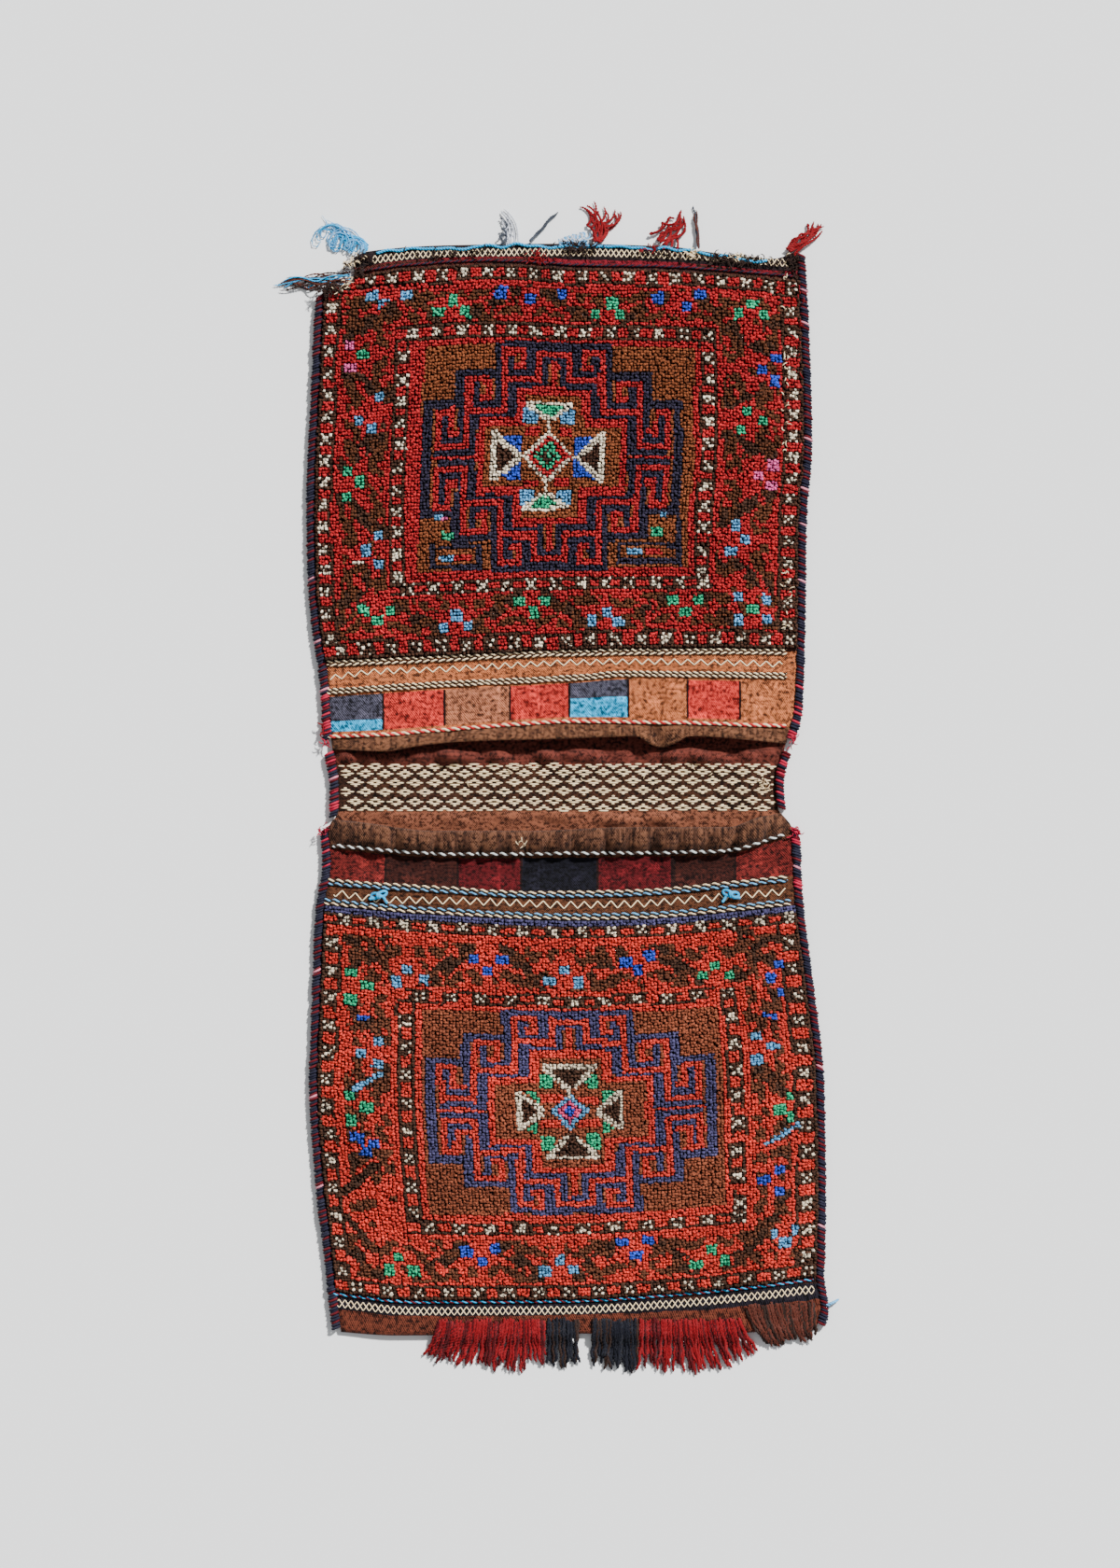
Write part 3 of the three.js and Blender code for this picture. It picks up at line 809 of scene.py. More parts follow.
# A chart of knots. Columns count from the left and rows from the top; shapes go on in that order.
class Chart:
    def __init__(self, columns, rows, dyeNames, ground, seed):
        self.names = list(dyeNames)
        column, row = np.meshgrid(np.arange(columns) + 0.5, np.arange(rows) + 0.5)
        self.column = column + 0.3 * ripple(column, row, 24, seed)
        self.row = row + 0.3 * ripple(column, row, 22, seed + 1)
        self.dye = np.full(column.shape, self.names.index(ground))

    def put(self, mask, dye):
        self.dye[mask] = self.names.index(dye)

    def block(self, left, top, right, bottom, dye):
        inside = (self.column > left) & (self.column < right) & (self.row > top) & (self.row < bottom)
        self.put(inside, dye)

    # a line of square-ended strokes: knots whose farther offset from a stroke is under half its width
    def line(self, points, width, dye):
        for (x0, y0), (x1, y1) in zip(points, points[1:]):
            run = (x1 - x0) ** 2 + (y1 - y0) ** 2 + 1e-9
            t = np.clip(((self.column - x0) * (x1 - x0) + (self.row - y0) * (y1 - y0)) / run, 0, 1)
            far = np.maximum(np.abs(self.column - x0 - t * (x1 - x0)), np.abs(self.row - y0 - t * (y1 - y0)))
            self.put(far < width / 2, dye)

    # the same stroke in all four quarters round a centre
    def fourfold(self, centre, points, width, dye):
        for flipX in (1, -1):
            for flipY in (1, -1):
                self.line([(centre[0] + flipX * x, centre[1] + flipY * y) for x, y in points], width, dye)

    # a filled shape with straight sides, by counting the sides that a ray to the right crosses
    def area(self, points, dye):
        inside = np.zeros(self.dye.shape, bool)
        for (x0, y0), (x1, y1) in zip(points, [*points[1:], points[0]]):
            crosses = (y0 > self.row) != (y1 > self.row)
            slope = (x1 - x0) / ((y1 - y0) or 1e-9)
            inside ^= crosses & (self.column < x0 + slope * (self.row - y0))
        self.put(inside, dye)

    # a guard stripe: squares in turn with dark cells that hold a cross of five pale knots
    def guard(self, along, start, end, low, high, pitch, square, cell, cross):
        run, side = (self.column, self.row) if along == "across" else (self.row, self.column)
        count = max(1, round((end - start) / pitch))
        place = (run - start) / (end - start) * count % 1 * (end - start) / count
        inStripe = (side > low) & (side < high) & (run > start) & (run < end)
        step = (end - start) / count
        self.put(inStripe, cell)
        self.put(inStripe & (place < step * 0.42) & (side > low + 0.9) & (side < high - 0.9), square)
        middle = step * 0.72
        a, b = np.abs(place - middle), np.abs(side - (low + high) / 2)
        arms = (np.abs(a - b) < 0.62) & (np.maximum(a, b) < 1.75) & (ripple(run, side, 2.2, 3) < 0.55)
        self.put(inStripe & arms, cross)

    # wear between two dyes: knots of each turn to the other where a ripple is high
    def mottle(self, left, top, right, bottom, hole, dark, light):
        inside = (self.column > left) & (self.column < right) & (self.row > top) & (self.row < bottom)
        inside &= ~((self.column > hole[0]) & (self.column < hole[2]) &
                    (self.row > hole[1]) & (self.row < hole[3]))
        isDark = self.dye == self.names.index(dark)
        isLight = self.dye == self.names.index(light)
        veins = ripple(self.column + self.row * 0.6, self.row - self.column * 0.6, 6, 41)
        self.put(inside & isDark & (veins > 0.45), light)
        self.put(inside & isLight & (veins < -0.75), dark)

    # a meander: a dark band from group to group, leaves beside each open stem, squares on top
    def meander(self, along, groups, low, high, reach, size, band):
        places = []
        for dye, squares in groups:
            run, side = squares.T if along == "across" else squares.T[::-1]
            order = np.sort(side)
            pairLow = order[len(order) // 2] - order[0] < order[-1] - order[len(order) // 2]
            places.append((run.mean(), pairLow))
        places.sort()
        turn = (lambda points: points) if along == "across" else (lambda points: [(y, x) for x, y in points])
        near, far = low + 1.6, high - 1.6
        ends = [(places[0][0] - (places[1][0] - places[0][0]), not places[0][1]), *places,
                (places[-1][0] * 2 - places[-2][0], not places[-1][1])]
        for (a, aLow), (b, bLow) in zip(ends, ends[1:]):
            start = (max(a + reach, 0), near if aLow else far)
            stop = (b - reach, near if bLow else far)
            self.line(turn([start, stop]), band, "darkBrown")
            for (run, side), way, isLow in ((start, 1, aLow), (stop, -1, bLow)):
                deep = 1 if isLow else -1
                self.area(turn([(run - way * 1.5, side - deep * 1.2), (run + way * 8.5, side - deep * 1.2),
                                (run + way * 5.5, side + deep * 5), (run + way * 0.5, side + deep * 3.4)]),
                          "leaf")
                self.line(turn([(run + way * 0.5, side), (run + way * 3, side + deep * 1.2)]), 2,
                          "darkBrown")
        for a, isLow in places:
            base, tip = (far, (low + high) / 2 + 1) if isLow else (near, (low + high) / 2 - 1)
            for way in (-1, 1):
                shoulder, middle = mix(base, tip, 0.7), mix(base, tip, 0.5)
                self.area(turn([(a + way * 1.2, base), (a + way * 12, base), (a + way * 10, shoulder),
                                (a + way * 5.4, tip), (a + way * 2.2, shoulder)]), "leaf")
                self.area(turn([(a + way * 3.6, base), (a + way * 6.8, base), (a + way * 5.2, middle)]),
                          "red")
            self.line(turn([(a, mix(base, tip, 0.9)), (a, base)]), 1.6, "red")
        for dye, squares in groups:
            for x, y in squares:
                self.block(x - size / 2, y - size / 2, x + size / 2, y + size / 2, dye)


# the medallion in one quarter, in knots from its centre: lines of the outer and inner frames
medallionLines = [
    ("outline", 2.9, [(0, 34.8), (16.7, 34.8), (16.7, 25.6), (28.3, 25.6), (28.3, 17), (37.8, 17),
                      (37.8, 0)]),
    ("outline", 2.4, [(16.7, 25.6), (16.7, 15.3)]),
    ("outline", 2.4, [(27.6, 17), (27.4, 5.8), (33.4, 5.8), (33.4, 13)]),
    ("outline", 2.4, [(23.4, 21.8), (23.4, 16.3), (17, 16.3)]),
    ("outline", 2.4, [(12.6, 32), (12.6, 26.7), (6.9, 26.7), (6.9, 34.8)]),
    ("outline", 2.4, [(12.8, 22.7), (3, 22.7), (3, 30.9), (0, 30.9)]),
    ("outline", 2.6, [(12.8, 22.7), (12.8, 12.5), (23.9, 12.5), (23.9, 1.6), (34, 1.6)]),
    ("red", 2.1, [(9.5, 33.2), (14.7, 33.2), (14.7, 14.5), (26.2, 14.5), (26.2, 3.7), (34.9, 3.7),
                  (34.9, 15), (33, 15)]),
    ("red", 2.1, [(9.5, 33.2), (9.5, 28.6), (11, 28.6)]),
    ("red", 2.1, [(14.7, 24.8), (4.9, 24.8), (4.9, 32.7), (0, 32.7)]),
    ("red", 2.1, [(21.5, 18.2), (19.6, 18.2), (19.6, 23.8), (25.8, 23.8), (25.8, 14.5)]),
    ("red", 2.1, [(31.3, 15), (31.3, 8), (28.6, 8)]),
    ("red", 2.6, [(0, 29.1), (0, 20.8)]),
    ("red", 1.2, [(24, 0), (36, 0)]),
    ("red", 2.6, [(0, 20.6), (10, 20.6), (10, 11), (21.4, 11), (21.4, 0)]),
]


def paintMedallion(chart, centre, core, wider, aside):
    middle = (centre[0] + aside, centre[1])
    for dye, width, points in medallionLines:
        chart.fourfold(middle, [(x * wider, y) for x, y in points], width, dye)
    core(chart, centre)


def upperCore(chart, centre):
    x, y = centre
    chart.area([(x - 8.8, y), (x, y - 8.6), (x + 8.8, y), (x, y + 8.6)], "ivory")
    chart.area([(x - 7.1, y), (x, y - 6.9), (x + 7.1, y), (x, y + 6.9)], "red")
    chart.area([(x - 4.6, y), (x, y - 4.9), (x + 4.6, y), (x, y + 4.9)], "green")
    chart.area([(x - 2.6, y), (x, y - 2.7), (x + 2.6, y), (x, y + 2.7)], "darkBrown")
    chart.area([(x - 1.1, y), (x, y - 1.1), (x + 1.1, y), (x, y + 1.1)], "green")
    for flip in (1, -1):
        chart.area([(x + flip * 15.6, y - 7), (x + flip * 15.6, y + 7), (x + flip * 8.7, y + 7),
                    (x + flip * 8.7, y - 7)], "blue")
        chart.area([(x + flip * 17.4, y - 6.4), (x + flip * 17.4, y + 6.4), (x + flip * 9.5, y)],
                   "darkBrown")
        chart.block(x - 8.4, y + flip * 12.9 - 2.6, x - 3.2, y + flip * 12.9 + 2.6, "lightBlue")
        chart.block(x + 3.2, y + flip * 12.9 - 2.6, x + 8.4, y + flip * 12.9 + 2.6, "lightBlue")
        chart.line([(x, y + flip * 12), (x, y + flip * 15.6)], 1.0, "ivory")
    chart.fourfold(centre, [(17.6, 0), (17.6, 7.4), (9.5, 0)], 1.5, "ivory")
    chart.fourfold(centre, [(0, 16.6), (7, 16.6), (1, 12)], 1.2, "ivory")
    for flip in (1, -1):
        chart.area([(x - 4.9, y + flip * 16.1), (x + 4.9, y + flip * 16.1), (x + 1.3, y + flip * 12.9),
                    (x - 1.3, y + flip * 12.9)], "green")
    chart.fourfold(centre, [(0, 8.7), (0, 12.3)], 1.6, "ivory")
    chart.fourfold(centre, [(4.2, 8.2), (6.4, 8.2)], 2.6, "red")


def lowerCore(chart, centre):
    x, y = centre
    chart.fourfold(centre, [(3.6, 4.2), (7, 4.2)], 3, "red")
    chart.area([(x - 5.6, y), (x, y - 6.6), (x + 5.6, y), (x, y + 6.6)], "lightBlue")
    chart.area([(x - 3.6, y), (x, y - 4.4), (x + 3.6, y), (x, y + 4.4)], "pink")
    chart.area([(x - 1.7, y), (x, y - 2), (x + 1.7, y), (x, y + 2)], "blue")
    for flip in (1, -1):
        chart.area([(x - 8, y + flip * 15.8), (x + 8, y + flip * 15.8), (x + 1, y + flip * 8),
                    (x - 1, y + flip * 8)], "darkBrown")
        chart.area([(x + flip * 14.4, y - 6), (x + flip * 14.4, y + 6), (x + flip * 7.5, y)], "darkBrown")
        for side in (1, -1):
            chart.block(x + side * 6.6 - 1.9, y + flip * 10.8 - 2.6,
                        x + side * 6.6 + 1.9, y + flip * 10.8 + 2.6, "green")
            chart.area([(x + side * 9, y + flip * 2.4), (x + side * 13, y + flip * 6.8),
                        (x + side * 9.4, y + flip * 7.4)], "green")
    chart.fourfold(centre, [(14.6, 0), (14.6, 6.4), (8.2, 0.6)], 1.3, "ivory")
    chart.fourfold(centre, [(0, 16.4), (7.6, 16.4), (1.6, 9)], 1.3, "ivory")
    chart.line([(x - 0.2, y - 9), (x - 0.2, y - 6)], 1.2, "ivory")


# The plan of each pouch's pile. outer, outerRight, outerTop and outerBottom are the edges of the stripes
# on each side, in knots: outer guard, border, inner guard, field. Groups of squares and strokes are at
# x, y on the cloth.
pile = {
    "upper": {
        "columns": 157, "rows": 122, "height": 5.4, "seed": 31,
        "dyes": {
            "red": "A81E24", "darkBrown": "40281C", "leaf": "56301C", "field": "7C4326", "outline": "2A2638",
            "ivory": "EADDC4", "green": "22A878", "blue": "2E4BC0", "lightBlue": "5C9FD0", "pink": "DC5C98",
        },
        "outer": [0, 5.6, 7.4, 23.5, 24.2, 29.2, 33.5],
        "outerRight": [157, 150, 149, 130, 128.6, 123.4, 121.5],
        "outerTop": [0, 5.3, 6.6, 17.6, 18, 23, 25],
        "outerBottom": [122, 116.5, 116, 103.6, 103, 99, 96],
        "centre": (-10, 355), "core": upperCore, "wider": 1.07, "aside": 1.4, "guardPitch": [8.2, 7.1],
        "size": 3.3, "reach": 5, "band": 3.3, "line": 0,
        "strokes": [
            ("green", 3.4, (-207, 464), (-207, 464.1)), ("green", 3.2, (208, 191), (208, 191.1)),
            ("ivory", 1.4, (-216, 242), (-208, 242)), ("outline", 1.6, (-134, 258), (-85, 258)),
            ("outline", 1.6, (-134, 237), (-85, 237)), ("outline", 1.6, (-134, 258), (-134, 237)),
            ("outline", 1.6, (-85, 258), (-85, 237)), ("lightBlue", 1.6, (-125, 247), (-113, 247)),
            ("red", 1.8, (-106, 247), (-94, 247)), ("green", 2.4, (-121, 271), (-115, 271)),
            ("lightBlue", 2.0, (-128, 289), (-124, 289)), ("pink", 1.8, (-121, 289), (-119, 289)),
            ("outline", 1.6, (66, 261), (126, 261)), ("outline", 1.6, (66, 243), (126, 243)),
            ("outline", 1.6, (66, 261), (66, 243)), ("outline", 2.0, (129, 311), (129, 242)),
            ("lightBlue", 1.6, (78, 252), (88, 252)), ("red", 1.8, (96, 252), (108, 252)),
            ("green", 2.4, (103, 275), (109, 275)), ("lightBlue", 2.0, (112, 292), (115, 292)),
        ],
        "across": [[
            ("lightBlue", [(-197, 525), (-185, 518), (-163, 527)]),
            ("green", [(-111, 522), (-126, 510), (-98, 510)]),
            ("blue", [(-62, 530), (-29, 522), (5, 529)]),
            ("green", [(59, 519), (41, 508), (67, 507)]),
            ("blue", [(108, 525), (137, 514), (152, 528)]),
            ("green", [(208, 516), (194, 507), (221, 507)]),
        ], [
            ("green", [(-207, 190), (-179, 191), (-193, 179)]),
            ("lightBlue", [(-109, 185), (-122, 171), (-96, 173)]),
            ("green", [(-41, 199), (-14, 200), (-26, 188)]),
            ("lightBlue", [(55, 189), (38, 179), (65, 178)]),
            ("green", [(123, 201), (152, 202), (137, 189)]),
            ("lightBlue", [(193, 204), (222, 203), (194, 180), (223, 181)]),
        ]],
        "down": [[
            ("pink", [(-220, 474), (-207, 464), (-220, 451)]),
            ("lightBlue", [(-190, 420), (-211, 395), (-198, 385)]),
            ("green", [(-225, 340), (-211, 328), (-225, 313)]),
            ("lightBlue", [(-192, 271), (-205, 254), (-191, 240)]),
        ], [
            ("blue", [(233, 460), (219, 449), (233, 436)]),
            ("green", [(203, 405), (219, 394), (197, 383)]),
            ("pink", [(230, 346), (214, 336), (228, 325)]),
            ("lightBlue", [(190, 281), (201, 266), (186, 253)]),
        ]],
    },
    "lower": {
        "columns": 144, "rows": 135, "height": 5.0, "seed": 47,
        "dyes": {
            "red": "C4342A", "darkBrown": "40291D", "leaf": "5C3422", "field": "7C412B", "outline": "423F62",
            "ivory": "DCCDB4", "green": "22A070", "blue": "2C48B8", "lightBlue": "5A9AC8", "pink": "C8406A",
        },
        "outer": [0, 5.4, 7.8, 21.2, 22.8, 27.9, 30.2],
        "outerRight": [144, 137.4, 136, 124.6, 123.3, 118.5, 117],
        "outerTop": [1.9, 6.0, 8.9, 25, 26.6, 30.6, 33],
        "outerBottom": [135, 130, 129, 114, 112, 107.6, 104.6],
        "centre": (14, -346), "core": lowerCore, "wider": 1.07, "aside": 0.3, "guardPitch": [9, 9.4],
        "size": 3.4, "reach": 5, "band": 3.3, "line": 1.9,
        "strokes": [
            ("blue", 1.8, (-212, -245), (-202, -245)), ("blue", 1.8, (222, -243), (229, -243)),
            ("darkBrown", 2, (-192, -402), (-226, -432)), ("leaf", 3, (-200, -442), (-216, -448)),
            ("darkBrown", 2, (-226, -458), (-202, -486)),
            ("lightBlue", 1.3, (-188, -304), (-217, -322)), ("lightBlue", 1.3, (256, -360), (223, -380)),
        ],
        "across": [[
            ("lightBlue", [(-161, -193), (-144, -205), (-172, -206)]),
            ("blue", [(-90, -182), (-76, -195), (-60, -182)]),
            ("lightBlue", [(-9, -206), (7, -195), (21, -207)]),
            ("blue", [(73, -185), (99, -180), (87, -194)]),
            ("green", [(168, -189), (155, -201), (184, -199)]),
        ], [
            ("green", [(-169, -502), (-180, -514), (-154, -516)]),
            ("blue", [(-97, -495), (-66, -492), (-80, -507)]),
            ("lightBlue", [(1, -505), (-13, -516), (18, -515)]),
            ("blue", [(69, -486), (97, -483), (84, -500)]),
            ("green", [(164, -494), (149, -510), (179, -505)]),
            ("lightBlue", [(227, -476), (255, -473), (242, -486)]),
        ]],
        "down": [[
            ("green", [(-221, -198), (-203, -212), (-221, -227)]),
            ("lightBlue", [(-191, -270), (-210, -283), (-193, -295)]),
            ("green", [(-222, -328), (-204, -341), (-221, -354)]),
            ("blue", [(-213, -373), (-196, -380), (-204, -387)]),
        ], [
            ("blue", [(237, -189), (227, -203), (241, -217)]),
            ("lightBlue", [(212, -265), (229, -275), (213, -290)]),
            ("green", [(253, -328), (238, -343), (253, -351)]),
            ("blue", [(236, -408), (220, -419), (236, -430)]),
        ]],
    },
}

# where a pouch's pile starts and ends: y of its mouth side and of its hem side over x
def pileEnds(pouch, x):
    mouthSide = cordLines[pouch["guides"][2]](x) + pouch["way"] * (5 if pouch["way"] > 0 else 4)
    hemSide = cordLines[pouch["hem"]](x) - pouch["way"] * 4
    return mouthSide, hemSide


# knots to millimetres: across between the cloth's edges, down between the ends of the pile
def knotToCloth(pouch, plan, column, row):
    share = row / plan["rows"]
    y = np.full(np.shape(column), pouch["way"] * 340.0)
    for _ in range(4):
        x = mix(leftEdge(y) + 0.5, rightEdge(y) - 0.5, column / plan["columns"])
        mouthSide, hemSide = pileEnds(pouch, x)
        top, bottom = (hemSide, mouthSide) if pouch["way"] > 0 else (mouthSide, hemSide)
        y = mix(top, bottom, share)
    return x, y


def clothToKnot(pouch, plan, x, y):
    mouthSide, hemSide = pileEnds(pouch, x)
    top, bottom = (hemSide, mouthSide) if pouch["way"] > 0 else (mouthSide, hemSide)
    column = (x - leftEdge(y) - 0.5) / (rightEdge(y) - leftEdge(y) - 1) * plan["columns"]
    return np.stack([column, (y - top) / (bottom - top) * plan["rows"]], -1)


def paintChart(pouch, plan):
    chart = Chart(plan["columns"], plan["rows"], plan["dyes"], "red", plan["seed"])
    left, right, top, bottom = plan["outer"], plan["outerRight"], plan["outerTop"], plan["outerBottom"]

    def knots(groups):
        return [(dye, clothToKnot(pouch, plan, *np.array(squares, float).T)) for dye, squares in groups]

    sizes = plan["size"], plan["band"]
    chart.meander("across", knots(plan["across"][0]), top[2], top[3], plan["reach"], *sizes)
    chart.meander("across", knots(plan["across"][1]), bottom[3], bottom[2], plan["reach"], *sizes)
    chart.meander("down", knots(plan["down"][0]), left[2], left[3], plan["reach"], *sizes)
    chart.meander("down", knots(plan["down"][1]), right[3], right[2], plan["reach"], *sizes)
    wide = plan["columns"]
    hole = left[3], top[3], right[3], bottom[3]
    for dark in ("leaf", "darkBrown"):
        chart.mottle(left[2], top[2], right[2], bottom[2], hole, dark, "red")
    pitch = plan["guardPitch"]
    inner = left[4], right[4]
    for low, far, run in ((top[0], top[1], (0, wide)), (bottom[1], bottom[0], (0, wide)),
                          (top[4], top[5], inner), (bottom[5], bottom[4], inner)):
        chart.guard("across", *run, low, far, pitch[0], "red", "darkBrown", "ivory")
    outer, inner = (top[1], bottom[1]), (top[5], bottom[5])
    for low, far, run in ((left[0], left[1], outer), (right[1], right[0], outer),
                          (left[4], left[5], inner), (right[5], right[4], inner)):
        chart.guard("down", *run, low, far, pitch[1], "red", "darkBrown", "ivory")
    chart.block(left[6], top[6], right[6], bottom[6], "field")
    centre = clothToKnot(pouch, plan, *np.array(plan["centre"], float))
    paintMedallion(chart, centre, plan["core"], plan["wider"], plan["aside"])
    for dye, width, *ends in plan["strokes"]:
        chart.line(clothToKnot(pouch, plan, *np.array(ends, float).T), width, dye)
    if plan["line"]:
        chart.block(-1, -1, wide + 1, plan["line"], "outline")
    return chart


# lengths in millimetres, the rest shares; a spread is one standard deviation
knotTuft = {
    "heightSpread": 0.12, "lean": -1.1, "leanSpread": (0.7, 0.6), "twist": 0.25, "top": 0.74,
    "topSpread": 0.08, "cornerSpread": 0.28, "riseSpread": 0.35, "sink": 0.4, "shadeSpread": 0.16,
    "streak": 0.10, "cloud": 0.10, "shadeLimits": (0.45, 1.7), "tint": 0.05, "paintedFootShade": 0.4,
}


# Each knot is a tuft: a square foot on the cloth and a smaller, leaning top with uneven corners.
def plantPile(name, pouch, plan, chart, chosen, material):
    draw = np.random.default_rng(plan["seed"])
    rows, columns = chart.dye.shape
    column, row = np.meshgrid(np.arange(columns) + 0.5, np.arange(rows) + 0.5)
    jitter = draw.normal(0, 1, (8, rows, columns))
    corner = np.array([(-0.5, 0.5), (0.5, 0.5), (0.5, -0.5), (-0.5, -0.5)])
    height = plan["height"] * (1 + knotTuft["heightSpread"] * jitter[0])
    leanAcross, leanDown = knotTuft["leanSpread"]
    lean = np.stack([leanAcross * jitter[1], knotTuft["lean"] + leanDown * jitter[2]], -1)

    x, y = knotToCloth(pouch, plan, column, row)
    size = np.array([np.diff(x, axis=1).mean(), -np.diff(y, axis=0).mean()])
    z = frontHeight(pouch, x, y)
    normal = outward(lambda a, b: frontHeight(pouch, a, b), x, y)
    twist = knotTuft["twist"] * jitter[3][..., None, None]
    foot = np.broadcast_to(corner * size, (rows, columns, 4, 2))
    top = np.stack([foot[..., 0] - twist[..., 0] * foot[..., 1],
                    foot[..., 1] + twist[..., 0] * foot[..., 0]], -1)
    narrow = knotTuft["top"] + knotTuft["topSpread"] * jitter[4][..., None, None]
    top = top * narrow + lean[:, :, None]
    top = top + draw.normal(0, knotTuft["cornerSpread"], top.shape)
    rise = height[..., None] + draw.normal(0, knotTuft["riseSpread"], (rows, columns, 4))
    base = np.stack([x, y, z], -1)[:, :, None]
    level = np.zeros_like(rise)[..., None]
    footPoints = base + np.concatenate([foot, level], -1) - knotTuft["sink"] * normal[:, :, None]
    topPoints = base + np.concatenate([top, level], -1) + rise[..., None] * normal[:, :, None]
    points = np.concatenate([footPoints, topPoints], 2)[chosen]

    count = len(points)
    cube = np.array([(4, 7, 6, 5), (0, 1, 2, 3), (0, 4, 5, 1), (1, 5, 6, 2), (2, 6, 7, 3), (3, 7, 4, 0)])
    faces = (np.arange(count)[:, None, None] * 8 + cube).reshape(-1, 4)
    table = np.array([hexColour(plan["dyes"][dye]) for dye in chart.names])
    colour = table[chart.dye]
    streak = ripple(column * 0.12, row, 5, plan["seed"] + 5)
    cloud = ripple(column, row, 40, plan["seed"] + 7)
    shade = 1 + knotTuft["shadeSpread"] * jitter[5] + knotTuft["streak"] * streak + knotTuft["cloud"] * cloud
    colour = colour * np.clip(shade, *knotTuft["shadeLimits"])[..., None]
    colour = colour * (1 + knotTuft["tint"] * jitter[6:8, :, :, None].mean(0))
    colour = colour[chosen]
    # painted shade: the four foot corners of each tuft take this share of its dye, for the shade down
    # between the tufts
    paintedShadeOfCorner = np.array([knotTuft["paintedFootShade"]] * 4 + [1.0] * 4)
    perVertex = np.repeat(colour[:, None], 8, 1) * paintedShadeOfCorner[None, :, None]
    dye = np.concatenate([perVertex, np.ones((count, 8, 1))], -1).reshape(-1, 4)[faces.ravel()]
    piece = makePiece(name, points, [faces], [material], dye=np.clip(dye, 0, 1))
    return piece


def buildPile(side, material):
    pouch, plan = pouches[side], pile[side]
    chart = paintChart(pouch, plan)
    left, right, top, bottom = (plan[side][4] for side in ("outer", "outerRight", "outerTop", "outerBottom"))
    rows, columns = chart.dye.shape
    column, row = np.meshgrid(np.arange(columns) + 0.5, np.arange(rows) + 0.5)
    inField = (column > left) & (column < right) & (row > top) & (row < bottom)
    return [plantPile(side + "_pile_field", pouch, plan, chart, inField, material),
            plantPile(side + "_pile_border", pouch, plan, chart, ~inField, material)]


# rows: offset up the cloth, the two yarns, and the length of one turn (minus slants the other way)
cords = {
    "upper_hem_cord": {
        "from": -212, "to": 256, "yarn": 0.9, "lay": 0.8, "slot": "red_navy_cord",
        "rows": [(0, "bindingRed", "navyYarn", -8.5)]},
    "upper_outer_band_cord": {
        "from": -247, "to": 247, "yarn": 1.0, "lay": 0.85, "slot": "ivory_brown_cord",
        "rows": [(1.9, "ivoryYarn", "darkYarn", 8.4), (-1.9, "ivoryYarn", "darkYarn", -8.4)]},
    "upper_inner_band_cord": {
        "from": -247, "to": 247, "yarn": 1.0, "lay": 0.85, "slot": "ivory_brown_cord",
        "rows": [(1.8, "ivoryYarn", "darkYarn", 7.2), (-1.8, "ivoryYarn", "darkYarn", 7.2)]},
    "upper_mouth_cord": {
        "from": -246, "to": 246, "yarn": 1.25, "lay": 1.1, "slot": "red_ivory_cord",
        "rows": [(0, "ivoryYarn", "redYarn", 10.8)]},
    "lower_mouth_cord": {
        "from": -241, "to": 244, "yarn": 1.25, "lay": 1.1, "slot": "ivory_cord",
        "rows": [(0, "ivoryBlueYarn", "darkYarn", 10.8)]},
    "lower_inner_band_cord": {
        "from": -246, "to": 248, "yarn": 1.05, "lay": 0.9, "slot": "ivory_blue_cord",
        "rows": [(1.9, "ivoryYarn", "darkYarn", 10.4), (-1.9, "blueYarn", "darkYarn", 10.4)]},
    "lower_outer_band_cord": {
        "from": -250, "to": 252, "yarn": 1.05, "lay": 0.9, "slot": "ivory_blue_cord",
        "rows": [(1.9, "blueYarn", "darkYarn", 10.4), (-1.9, "ivoryYarn", "darkYarn", 10.4)]},
    "lower_hem_cord": {
        "from": -240, "to": 276, "yarn": 0.95, "lay": 0.8, "slot": "cyan_cord",
        "rows": [(0, "cyanYarn", "bindingRed", 10)]},
}


# a path lying on a front: x spaced evenly, y from a line, z from the cloth and the path's own rise
def onFront(pouch, x, y, rise):
    return np.stack([x, y, frontHeight(pouch, x, y) + rise], -1)


twine = {
    "step": 1.8, "sway": 0.35, "swayLength": 30, "sit": 0.75, "uneven": 0.12, "unevenLength": 9, "sides": 5,
}


# each row of a cord is two yarns wound round one path, half a turn apart
def buildCord(name, finishes):
    plan = cords[name]
    pouch = pouches[name.split("_")[0]]
    finishNames = list(dict.fromkeys(yarn for row in plan["rows"] for yarn in row[1:3]))
    x = np.arange(plan["from"], plan["to"], twine["step"])
    sets = []
    for number, (offset, light, dark, turn) in enumerate(plan["rows"]):
        draw = len(name) * 7 + number
        y = cordLines[name](x) + offset + twine["sway"] * ripple(x, 0 * x, twine["swayLength"], draw)
        path = onFront(pouch, x, y, plan["lay"] + plan["yarn"] * twine["sit"])[None]
        for yarn, phase in ((light, 0), (dark, pi)):
            ply = wound(path, plan["lay"], turn, phase + draw)
            radius = plan["yarn"] * (1 + twine["uneven"] * ripple(x, 0 * x, twine["unevenLength"], draw + 3))
            sets.append({"paths": ply, "radius": radius[None], "sides": twine["sides"],
                         "material": finishNames.index(yarn)})
    piece = yarnPiece(name + "_twine", sets, [finishes[yarn] for yarn in finishNames])
    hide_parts(name)
    return piece


def triangleWave(t):
    return 2 * np.abs(2 * (t % 1) - 1) - 1


